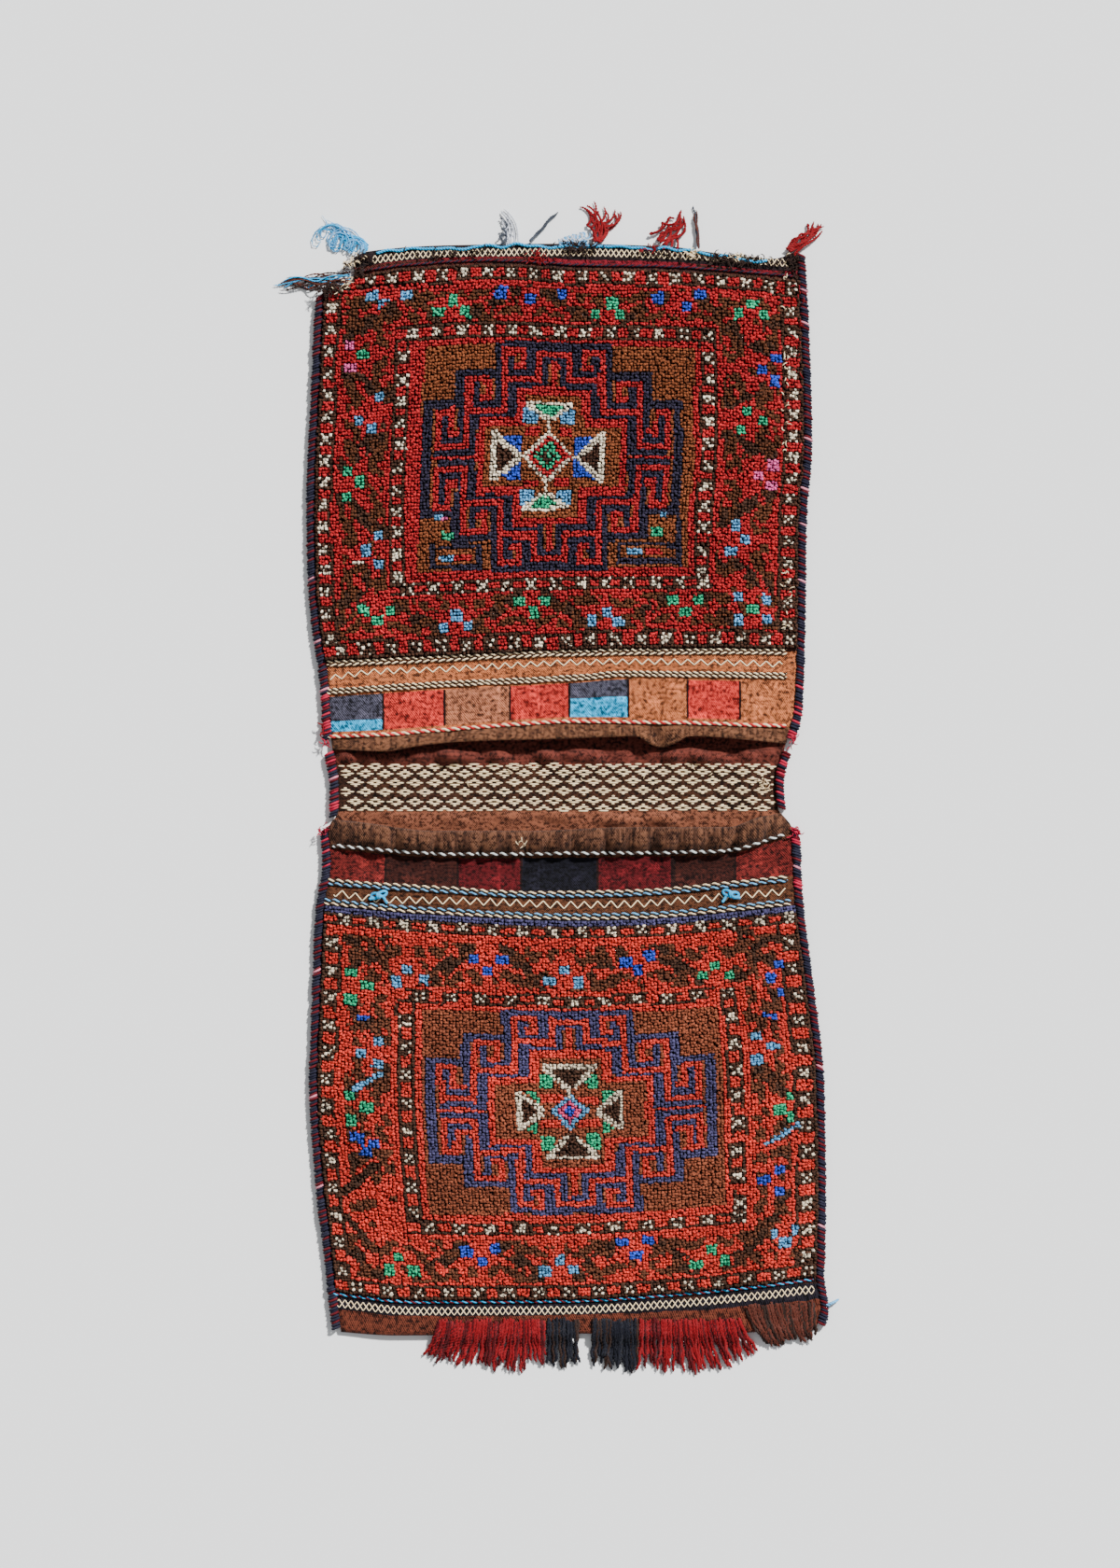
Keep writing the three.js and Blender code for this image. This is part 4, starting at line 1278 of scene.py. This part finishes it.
zigzags = {
    "upper_zigzag": {
        "pouch": "upper", "from": -244, "to": 242, "period": 14, "height": 3.1, "radius": 0.75,
        "phases": [0],
        "line": curveThrough((-247, 117), (-198, 124), (-119, 127), (-50, 131), (17, 134), (92, 135),
                             (171, 134), (246, 132))},
    "lower_zigzag": {
        "pouch": "lower", "from": -240, "to": 246, "period": 14.4, "height": 3.9, "radius": 0.75,
        "phases": [0],
        "line": curveThrough((-239, -113), (-181, -120), (-114, -121), (-28, -124), (3, -125.5),
                             (82, -124.5), (141, -120), (201, -115), (250, -111))},
    "upper_fold_lattice": {
        "pouch": "upper", "from": -198, "to": 250, "period": 11.5, "height": 4.4, "radius": 0.62,
        "phases": [0, 0.5],
        "line": curveThrough((-200, 566), (-120, 573), (0, 574), (119, 571), (256, 562))},
    "lower_fold_lattice": {
        "pouch": "lower", "from": -236, "to": 276, "period": 13, "height": 4.6, "radius": 0.6,
        "phases": [0, 0.5],
        "line": curveThrough((-238, -553), (-143, -561), (3, -560), (125, -553), (278, -538))},
}


# a zigzag of yarn laid on a front: y = line + height times a triangle wave of x
def buildZigzag(name, finish):
    plan = zigzags[name]
    pouch = pouches[plan["pouch"]]
    x = np.arange(plan["from"], plan["to"], plan["period"] / 16)
    sets = []
    for phase in plan["phases"]:
        place = x / plan["period"] + phase + 0.04 * ripple(x, 0 * x, 90, 3)
        y = plan["line"](x) + plan["height"] * triangleWave(place) + 0.3 * ripple(x, 0 * x, 14, 8)
        worn = 0.45 * ripple(x, 0 * x, 38, len(name)) + 0.35 * ripple(x, 0 * x, 9, 12)
        rise = plan["radius"] * (0.35 - 0.5 * np.maximum(worn, 0)) + 0.25 * np.sin(2 * pi * place * 2)
        path = onFront(pouch, x, y, rise)
        sets.append({"paths": path[None], "radius": plan["radius"], "sides": 5, "material": 0})
    piece = yarnPiece(name, sets, [finish])
    return piece


# the bridge: pale diamonds of weft floats, each row of floats a little shorter than the one nearer
# its middle, set out in staggered rows
bridgeLattice = {
    "left": -238, "right": 236, "bottom": -25, "top": 26, "pitch": 21.3, "half": 4.8, "width": 18.2,
    "rows": [24, 16, 6.5, -3.5, -14, -23], "floats": 5, "radius": 0.98,
}


def buildBridgeLattice(finish):
    plan = bridgeLattice
    draw = np.random.default_rng(61)
    paths = []
    for number, middle in enumerate(plan["rows"]):
        shift = (number % 2) * plan["pitch"] / 2
        for centre in np.arange(plan["left"] + shift, plan["right"], plan["pitch"]):
            bend = 1.2 * np.sin(centre / 90)
            for step in np.linspace(-1, 1, plan["floats"]):
                high = middle + bend + step * plan["half"] * 0.84
                if high > plan["top"] or high < plan["bottom"]:
                    continue
                reach = plan["width"] / 2 * (1 - abs(step) * 0.82)
                gap = 2.0 if abs(step) < 0.1 else 0
                spans = [(-reach, -gap), (gap, reach)] if gap else [(-reach, reach)]
                for start, stop in spans:
                    x = centre + np.linspace(start, stop, 5) + draw.normal(0, 0.25)
                    y = high + draw.normal(0, 0.15) + 0 * x
                    hump = 0.55 * np.sin(np.linspace(0, pi, 5)) + draw.normal(0, 0.08)
                    paths.append(np.stack([x, y, backHeight(x, y) + hump], -1))
    paths = np.array(paths)
    inside = (paths[:, 0, 0] > leftEdge(paths[:, 0, 1])) & (paths[:, -1, 0] < rightEdge(paths[:, -1, 1]))
    paths = paths[inside]
    sets = [{"paths": paths, "radius": plan["radius"], "sides": 5, "material": 0}]
    piece = yarnPiece("bridge_lattice", sets, [finish])
    return piece


bindings = {
    "upper_left_binding": ("left", 528, 52), "upper_right_binding": ("right", 572, 52),
    "bridge_left_binding": ("left", 38, -30), "bridge_right_binding": ("right", 38, -22),
    "lower_left_binding": ("left", -44, -580), "lower_right_binding": ("right", -44, -576),
}
stitch = {
    "pitch": 2.9, "reachX": 4.3, "reachZ": 4.2, "yarn": 1.5, "slant": 4.0, "centre": 4.9, "inset": 5.5,
    "toCloth": 1.2, "sizeSpread": 0.10, "core": 3.6, "nearMouth": 0.5, "mouthReach": 45, "odd": 0.02,
}


# one stitch is a slanting ring round the edge: x = cos a, z = sin a, and y rising with a
def buildBinding(name, finishes):
    side, top, bottom = bindings[name]
    draw = np.random.default_rng(len(name) + abs(top))
    count = int((top - bottom) / stitch["pitch"])
    y = np.linspace(top - 1, bottom + 1, count)
    edge = leftSide(y) + stitch["inset"] if side == "left" else rightSide(y) - stitch["inset"]
    angle = np.linspace(0, 2 * pi, 11)[:-1]
    inward = 1 if side == "left" else -1
    size = 1 + stitch["sizeSpread"] * draw.normal(size=(count, 1))
    wave = 0.8 * ripple(y, 0 * y, 70, 3)[:, None]
    x = edge[:, None] + inward * stitch["toCloth"] + np.cos(angle) * stitch["reachX"] * size
    z = stitch["centre"] + np.sin(angle) * stitch["reachZ"] * size + 0.6 * np.abs(wave)
    rise = y[:, None] + stitch["slant"] * inward * np.cos(angle) * 0.5 + draw.normal(0, 0.4, (count, 1))
    ring = np.stack([x, rise, np.maximum(z, stitch["yarn"] * 0.9)], -1)
    ring = np.concatenate([ring, ring[:, :1] + (0, 0.6, 0)], 1)
    run = np.cumsum(draw.integers(1, 3, count))
    wears = np.zeros(count, int)
    wears[np.isin(np.arange(count), run)] = 1
    nearMouth = np.exp(-(np.minimum(np.abs(y - 50), np.abs(y + 44)) / stitch["mouthReach"]) ** 2)
    wears[draw.uniform(size=count) < stitch["nearMouth"] * nearMouth] = 2
    wears[draw.uniform(size=count) < stitch["odd"]] = 3
    sets = [{"paths": ring, "radius": stitch["yarn"], "sides": 4, "material": wears, "reference": (0, 1, 0)}]
    core = np.linspace(top, bottom, 60)
    coreEdge = leftSide(core) + stitch["inset"] if side == "left" else rightSide(core) - stitch["inset"]
    spine = np.stack([coreEdge + inward * stitch["toCloth"], core, np.full_like(core, stitch["centre"])], -1)
    sets.append({"paths": spine[None], "radius": stitch["core"], "sides": 8, "material": 1})
    piece = yarnPiece(name + "_stitches", sets, finishes)
    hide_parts(name)
    return piece


fringes = {
    "fringe_red_left": {
        "from": -130, "to": -12, "strands": 80, "slot": "red_yarn", "yarns": ["redFringe", "darkRedFringe"],
        "reach": [(-130, 24), (-100, 30), (-60, 37), (-12, 36)], "spread": [(-130, -17), (-12, 0)]},
    "fringe_navy_left": {
        "from": -11, "to": 23, "strands": 22, "slot": "navy_yarn", "yarns": ["navyFringe", "darkWool"],
        "reach": [(-11, 36), (23, 31)], "spread": [(-11, -2), (23, 3)]},
    "fringe_navy_right": {
        "from": 37, "to": 87, "strands": 44, "slot": "navy_yarn", "yarns": ["navyFringe", "darkWool"],
        "reach": [(37, 34), (87, 40)], "spread": [(37, -4), (87, 5)]},
    "fringe_red_right": {
        "from": 88, "to": 197, "strands": 66, "slot": "red_yarn", "yarns": ["redFringe", "darkRedFringe"],
        "reach": [(88, 37), (150, 42), (197, 26)], "spread": [(88, 0), (150, 8), (197, 20)]},
    "fringe_brown_right": {
        "from": 201, "to": 276, "strands": 52, "slot": "brown_yarn", "yarns": ["brownFringe", "darkWool"],
        "reach": [(201, 15), (240, 12), (276, 6)], "spread": [(201, 24), (240, 14), (276, 2)], "start": 30},
}


# lengths in millimetres; a strand is two plies of this radius wound round each other
strand = {
    "lengths": (0.72, 1.08), "spreads": (0.6, 1.1), "start": 16, "swing": 3.0, "swingTogether": 4.5,
    "curl": 1.1, "curls": (14, 24), "clump": 7.5, "gather": 0.65, "points": 22, "lift": 2.0, "lay": 0.9,
    "turn": 8.5, "ply": 1.3, "floor": 1.6, "pile": 2.6,
}


# strands: from the fold out along -y, waving and drooping to the floor, each of two plies
def buildFringe(name, finishes):
    plan = fringes[name]
    draw = np.random.default_rng(len(name) * 13)
    count = plan["strands"]
    root = np.linspace(plan["from"] + 1.5, plan["to"] - 1.5, count) + draw.normal(0, 0.6, count)
    reach = np.interp(root, *np.array(plan["reach"], float).T) * draw.uniform(*strand["lengths"], count)
    reach = reach + 3.5 * ripple(root, 0 * root, 14, 15)
    spread = np.interp(root, *np.array(plan["spread"], float).T) * draw.uniform(*strand["spreads"], count)
    start = plan.get("start", strand["start"])
    t = np.linspace(0, 1, 15)
    layer = draw.uniform(0, 1, count)
    swing = draw.normal(0, strand["swing"], count) + strand["swingTogether"] * ripple(root, 0 * root, 26, 4)
    x = root[:, None] + spread[:, None] * t ** 1.4 + swing[:, None] * t ** 2
    curls = t * draw.uniform(*strand["curls"], (count, 1)) + draw.uniform(0, 6, (count, 1))
    x += strand["curl"] * np.sin(curls) * np.sqrt(t)
    clump = np.floor(root / strand["clump"] + 0.4 * ripple(root, 0 * root, 20, 6))
    middle = np.array([root[clump == mine].mean() for mine in clump])
    x += strand["gather"] * (middle - root)[:, None] * t ** 2
    begin = start + draw.normal(0, 1.3, (count, 1)) + 1.5 * ripple(root, 0 * root, 18, 16)[:, None]
    y = foldBottom(root)[:, None] + begin - (begin + reach[:, None]) * t
    out = foldBottom(root)[:, None] - y
    onCloth = frontHeight(pouches["lower"], x, np.maximum(y, foldBottom(x) + 6))
    floor = strand["floor"] + strand["pile"] * layer[:, None]
    z = mix(onCloth + 1.2 + layer[:, None], floor, smooth(out, -3, 15))
    lift = strand["lift"] * np.sin(np.clip(out, 0, 40) / 40 * pi) * draw.uniform(0, 1, (count, 1))
    core = np.stack([x, y, z + lift], -1)
    fine = np.array([resample(path, strand["points"]) for path in core])
    sets = []
    tone = draw.integers(0, len(finishes), count)
    for phase in (0, pi):
        ply = wound(fine, strand["lay"], strand["turn"], phase)
        taper = strand["ply"] * np.interp(np.linspace(0, 1, strand["points"]), [0, 0.85, 1], [1, 1, 0.6])
        sets.append({"paths": ply, "radius": taper[None], "sides": 4, "material": tone})
    piece = yarnPiece(name + "_strands", sets, finishes)
    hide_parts(name)
    return piece


# Loose bundles: base, tip, how wide they are at base and tip, strands and yarn.
tufts = {
    "blue_thread_tangle": {
        "base": (-203, 580), "tip": (-262, 594), "wide": (8, 24), "strands": 12, "yarn": 0.5, "loops": 1.8,
        "curl": 24, "slot": "light_blue_yarn", "finish": ["cyanYarn", "blueYarn"]},
    "corner_knot": {
        "base": (-222, 545), "tip": (-303, 541), "wide": (20, 9), "strands": 16, "yarn": 0.62, "curl": 8,
        "slot": "brown_yarn", "finish": ["darkWool", "brownFringe", "darkWool", "cyanYarn"]},
    "grey_tuft": {
        "base": (-50, 580), "tip": (-56, 617), "wide": (22, 4), "strands": 11, "yarn": 0.6, "curl": 10,
        "slot": "grey_yarn", "finish": ["greyYarn", "paleYarn"]},
    "slate_strand": {
        "base": (-30, 586), "tip": (5, 625), "wide": (2, 2), "strands": 2, "yarn": 0.9, "curl": 2,
        "slot": "grey_yarn", "finish": ["greyYarn"]},
    "pale_lump": {
        "base": (2, 583), "tip": (37, 588), "wide": (10, 14), "strands": 20, "yarn": 0.7, "loops": 2,
        "curl": 9, "slot": "grey_yarn", "finish": ["paleYarn", "blueYarn"]},
    "red_tuft_middle": {
        "base": (42, 585), "tip": (50, 624), "wide": (9, 46), "strands": 13, "yarn": 0.95, "curl": 9,
        "slot": "red_yarn", "finish": ["redFringe"]},
    "red_tuft_flat": {
        "base": (112, 583), "tip": (138, 614), "wide": (34, 12), "strands": 12, "yarn": 0.95, "curl": 9,
        "slot": "red_yarn", "finish": ["redFringe"]},
    "brown_strand": {
        "base": (151, 578), "tip": (149, 627), "wide": (4, 4), "strands": 5, "yarn": 0.7, "curl": 3,
        "slot": "brown_yarn", "finish": ["brownFringe", "brownFringe", "greyYarn"]},
    "red_tuft_right": {
        "base": (250, 574), "tip": (283, 607), "wide": (14, 12), "strands": 9, "yarn": 0.95, "curl": 8,
        "slot": "red_yarn", "finish": ["redFringe"]},
    "corner_yarn_end": {
        "base": (286, -556), "tip": (304, -548), "wide": (2, 2), "strands": 2, "yarn": 0.9, "curl": 1,
        "slot": "light_blue_yarn", "finish": ["redFringe", "blueYarn"]},
}


# strands from base towards tip: along and off are the two distances, both curling with t
def buildTuft(name, finishes):
    plan = tufts[name]
    draw = np.random.default_rng(len(name) * 31 + 5)
    count = plan["strands"]
    base, tip = np.array(plan["base"], float), np.array(plan["tip"], float)
    forward = unit(tip - base)
    sideways = np.array([-forward[1], forward[0]])
    t = np.linspace(0, 1, 26)
    rootOff, tipOff = draw.uniform(-0.5, 0.5, (2, count)) * np.array(plan["wide"])[:, None]
    sameOrder = np.sort(tipOff)[np.argsort(np.argsort(rootOff))]
    tipOff = np.where(draw.uniform(size=count) < 0.6, sameOrder, tipOff)
    length = draw.uniform(0.72, 1.0, count)[:, None]
    along = np.linalg.norm(tip - base) * t * length
    turns = draw.uniform(4, 12, (count, 1)) * plan.get("loops", 1)
    start = draw.uniform(0, 6, (count, 1))
    swell = plan["curl"] * np.sqrt(t)
    off = mix(rootOff[:, None], tipOff[:, None], t ** 1.2) + 0.5 * swell * np.sin(t * turns + start)
    along = along + 0.4 * swell * (np.cos(t * turns + start) - np.cos(start))
    x = base[0] + forward[0] * along + sideways[0] * off
    y = base[1] + forward[1] * along + sideways[1] * off
    pouch = pouches["upper"] if base[1] > 0 else pouches["lower"]
    inset = np.clip(y, foldBottom(x) + 5, foldTop(x) - 5)
    cover = frontHeight(pouch, np.clip(x, leftEdge(y), rightEdge(y)), inset)
    outside = np.maximum(np.abs(y - np.clip(y, foldBottom(x), foldTop(x))),
                         np.maximum(leftSide(y) - x, x - rightSide(y)))
    floor = 1.2 + draw.uniform(0, 3.5, (count, 1)) * (1 - 0.6 * t)
    z = mix(np.minimum(cover, 11) + 0.8, floor, smooth(outside, -4, 14))
    z = z + 2.5 * np.sin(t * pi) * draw.uniform(0, 1, (count, 1))
    core = np.stack([x, y, np.maximum(z, plan["yarn"] * 1.6)], -1)
    tone = draw.integers(0, len(finishes), count)
    sets = []
    for phase in (0, pi):
        ply = wound(core, plan["yarn"] * 0.75, 6.0, phase)
        taper = plan["yarn"] * np.interp(t, [0, 0.8, 1], [1, 1, 0.5])
        sets.append({"paths": ply, "radius": taper[None], "sides": 4, "material": tone})
    piece = yarnPiece(name + "_yarns", sets, finishes)
    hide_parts(name)
    return piece


topYarn = {
    "from": -194, "to": 226, "step": 1.6, "inset": 3.5, "sway": 2.0, "rise": 1.2, "dip": 0.9, "length": 24,
    "lay": 0.85, "turn": 6.5, "ply": 1.1,
}


# the yarn laid along the upper fold, dipping into the cloth between its stitches
def buildTopYarn(finish):
    x = np.arange(topYarn["from"], topYarn["to"], topYarn["step"])
    y = foldTop(x) - topYarn["inset"] + topYarn["sway"] * ripple(x, 0 * x, topYarn["length"], 9)
    rise = topYarn["rise"] + topYarn["dip"] * ripple(x, 0 * x, topYarn["length"], 14)
    path = np.stack([x, y, frontHeight(pouches["upper"], x, np.minimum(y, foldTop(x) - 5)) + rise], -1)[None]
    sets = [{"paths": wound(path, topYarn["lay"], topYarn["turn"], phase), "radius": topYarn["ply"],
             "sides": 5, "material": 0} for phase in (0, pi)]
    piece = yarnPiece("top_edge_yarn_plies", sets, [finish])
    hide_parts("top_edge_yarn")
    return piece


# Worn wool: short curling ends thrown up where a band has frayed. Patches are centre, spread and
# how many ends; each end is an arc that curls over.
frays = {
    "top_fray_dark": {
        "finish": "darkWool", "slot": "brown_yarn", "length": 9, "yarn": 0.75,
        "patches": [((22, 578), (22, 5), 90), ((190, 566), (46, 7), 130), ((250, 563), (8, 12), 50),
                    ((-214, 560), (16, 14), 60), ((-244, 534), (12, 6), 90), ((-120, 572), (80, 5), 40),
                    ((110, 570), (40, 5), 30)]},
    "top_fray_pale": {
        "finish": "ivoryYarn", "slot": "ivory_cord", "length": 8, "yarn": 0.7,
        "patches": [((-218, 566), (12, 8), 24), ((145, 572), (8, 4), 16), ((192, 569), (8, 4), 16),
                    ((-232, 538), (10, 8), 14), ((245, 400), (3, 170), 30), ((246, 200), (3, 60), 12)]},
    "top_fray_red": {
        "finish": "redFringe", "slot": "red_yarn", "length": 9, "yarn": 0.8,
        "patches": [((-20, 568), (16, 5), 30), ((100, 580), (20, 3), 16), ((258, 480), (4, 60), 18),
                    ((-262, 60), (4, 14), 10)]},
    "mouth_fray_pale": {
        "finish": "ivoryYarn", "slot": "ivory_cord", "length": 8, "yarn": 0.6,
        "patches": [((222, 2), (14, 8), 16), ((-38, -62), (3, 3), 6), ((10, 12), (200, 10), 10)]},
    "corner_fray_red": {
        "finish": "brightRedYarn", "slot": "red_yarn", "length": 7, "yarn": 0.7,
        "patches": [((252, 50), (4, 6), 14), ((256, -48), (6, 5), 20), ((-252, -46), (4, 5), 12),
                    ((-250, 48), (4, 5), 12)]},
}


def buildFray(name, finishes):
    plan = frays[name]
    draw = np.random.default_rng(len(name) * 3 + len(plan["patches"]))
    starts = np.concatenate([draw.normal(0, 0.45, (count, 2)) * spread + centre
                             for centre, spread, count in plan["patches"]])
    x0, y0 = starts.T
    y0 = np.clip(y0, foldBottom(x0) + 6, foldTop(x0) - 3)
    x0 = np.clip(x0, leftSide(y0) + 3, rightSide(y0) - 3)
    count = len(x0)
    t = np.linspace(0, 1, 7)
    turn = draw.uniform(0, 2 * pi, (count, 1)) + draw.normal(0, 1.6, (count, 1)) * t
    reach = plan["length"] * draw.uniform(0.5, 1.2, (count, 1)) / 7
    x = x0[:, None] + np.cumsum(np.cos(turn) * reach, 1)
    y = y0[:, None] + np.cumsum(np.sin(turn) * reach, 1)
    onUpper = frontHeight(pouches["upper"], x0, np.maximum(y0, lipTop(x0)))
    onLower = frontHeight(pouches["lower"], x0, np.minimum(y0, lipBottom(x0)))
    z0 = np.where(y0 > lipTop(x0), onUpper, np.where(y0 < lipBottom(x0), onLower, backHeight(x0, y0)))
    onPile = (y0 > 150) & (y0 < cordLines["upper_hem_cord"](x0) - 4)
    z = z0[:, None] + 4.5 * onPile[:, None] + 0.6 + 3.2 * np.sin(t * pi * draw.uniform(0.5, 1, (count, 1)))
    path = np.stack([x, y, z], -1)
    taper = plan["yarn"] * np.interp(t, [0, 0.6, 1], [1, 1, 0.5])
    piece = yarnPiece(name, [{"paths": path, "radius": taper[None], "sides": 3, "material": 0}],
                      [finishes[plan["finish"]]])
    return piece


# a small bow: two loops, two ends and a wrapped middle
bows = {"left_bow": (-191, -115), "right_bow": (186, -114)}


def buildBow(name, finish):
    x0, y0 = bows[name]
    flip = 1 if name.startswith("left") else -1
    t = np.linspace(0, 2 * pi, 25)
    flat = []
    for tilt, reach in ((0.35, 9), (pi + 0.1, 8)):
        a = reach * (1 - np.cos(t)) / 2
        b = 2.6 * np.sin(t)
        flat.append(np.stack([a * np.cos(tilt) - b * np.sin(tilt), a * np.sin(tilt) + b * np.cos(tilt)], -1))
    s = np.linspace(0, 1, 25)
    for tilt, reach in ((-0.6, 13), (pi + 0.55, 11)):
        a, b = reach * s, 1.4 * np.sin(s * 5)
        flat.append(np.stack([a * np.cos(tilt) - b * np.sin(tilt), a * np.sin(tilt) + b * np.cos(tilt)], -1))
    flat = np.array(flat) * (flip, 1)
    x, y = x0 + flat[..., 0], y0 + flat[..., 1]
    z = frontHeight(pouches["lower"], x, y) + 4.6 + 1.2 * np.cos(t) * np.array([1, 1, 0, 0])[:, None]
    loops = np.stack([x, y, z], -1)
    knotTurn = np.linspace(0, 4 * pi, 25)
    under = frontHeight(pouches["lower"], np.array([x0]), np.array([y0]))
    knot = np.stack([x0 + np.linspace(-1.5, 1.5, 25), y0 + 2.6 * np.cos(knotTurn),
                     under + 5.2 + 2 * np.sin(knotTurn)], -1)
    sets = [{"paths": np.concatenate([loops, knot[None]]), "radius": 1.6, "sides": 7, "material": 0}]
    piece = yarnPiece(name + "_yarn", sets, [finish])
    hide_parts(name)
    return piece


makeCamera()
makeLights()
makeFloor()
print("camera, lights and floor made")

yarnDyes = {
    "redYarn": "B8262A", "navyYarn": "1C1B2C", "ivoryYarn": "F0D6AC", "ivoryBlueYarn": "D4DAD6",
    "darkYarn": "33221A", "blueYarn": "64A6D2", "cyanYarn": "1D9BCF", "greyYarn": "3E434C",
    "paleYarn": "B9BCC4", "redFringe": "7A0A12", "darkRedFringe": "4A060C", "brightRedYarn": "A81C38",
    "navyFringe": "14151E", "brownFringe": "4E241A", "bindingRed": "560B16", "darkWool": "2A1A14",
    "pinkYarn": "C87A8A",
}
evenYarns = {"ivoryYarn": 0.22, "ivoryBlueYarn": 0.22, "paleYarn": 0.25}  # less uneven than the rest
yarns = {name: yarnMaterial(name, hexColour(text), evenYarns.get(name, 0.35))
         for name, text in yarnDyes.items()}
weaves = [
    flatWeave("plainBack", plainColour(hexColour("5E3B2A"), hexColour("7A4C34"))),
    flatWeave("upperMouthBand", blockColour(mouthBlocks["upper"])),
    flatWeave("lowerMouthBand", blockColour(mouthBlocks["lower"])),
    # the pile's ground cloth is dyed near black-brown: painted shade down between the tufts, over the ground
    # weave's own brown
    flatWeave("pileGround", plainColour(hexColour("4A1C18"), hexColour("33201A"))),
    flatWeave("foldBand", stripColour([(495, "2A1416"), (500, "17141C"), (509, "54291D"), (530, "54291D")])),
    flatWeave("bridgeGround", plainColour(hexColour("2A1811"), hexColour("3A2217"))),
    # beside the mouths the back is lighter by the lower mouth and darkened by the upper one: painted shadow
    # of the upper lip, over the cloth's own rust brown
    flatWeave("besideMouths", stripColour([(-60, "6E4230"), (0, "582A22"), (60, "3A1A16")])),
    flatWeave("topBand", stripColour([(495, "2A1416"), (501, "6A1420"), (505, "1E1518"), (530, "2A1A14")])),
]
print("finishes made")

body = buildBody(weaves)
print("folded strip made")
knotted = pileMaterial()
fronts = [*buildPile("upper", knotted), *buildPile("lower", knotted)]
print("pile planted")
twines = [buildCord(name, yarns) for name in cords]
twines += [buildZigzag(name, yarns["ivoryYarn"]) for name in zigzags]
twines.append(buildBridgeLattice(yarns["ivoryYarn"]))
print("cords and lattices made")
sideYarns = [yarns[kind] for kind in ("bindingRed", "navyYarn", "brightRedYarn", "pinkYarn")]
sides = [buildBinding(name, sideYarns) for name in bindings]
print("sides bound")
hanging = []
for name, plan in fringes.items():  # two strands in three are of the first yarn
    own, other = (yarns[kind] for kind in plan["yarns"])
    hanging.append(buildFringe(name, [own, other, own]))
hanging += [buildTuft(name, [yarns[kind] for kind in tufts[name]["finish"]]) for name in tufts]
hanging += [buildBow(name, yarns["cyanYarn"]) for name in bows]
hanging.append(buildTopYarn(yarns["cyanYarn"]))
hanging += [buildFray(name, yarns) for name in frays]
print("fringe and loose yarns made")

triangles = {}
for piece in [body, *fronts, *twines, *sides, *hanging]:
    triangles[piece.name] = sum(len(p.vertices) - 2 for p in piece.data.polygons)
print("triangles", sum(triangles.values()), "most", max(triangles.values()))
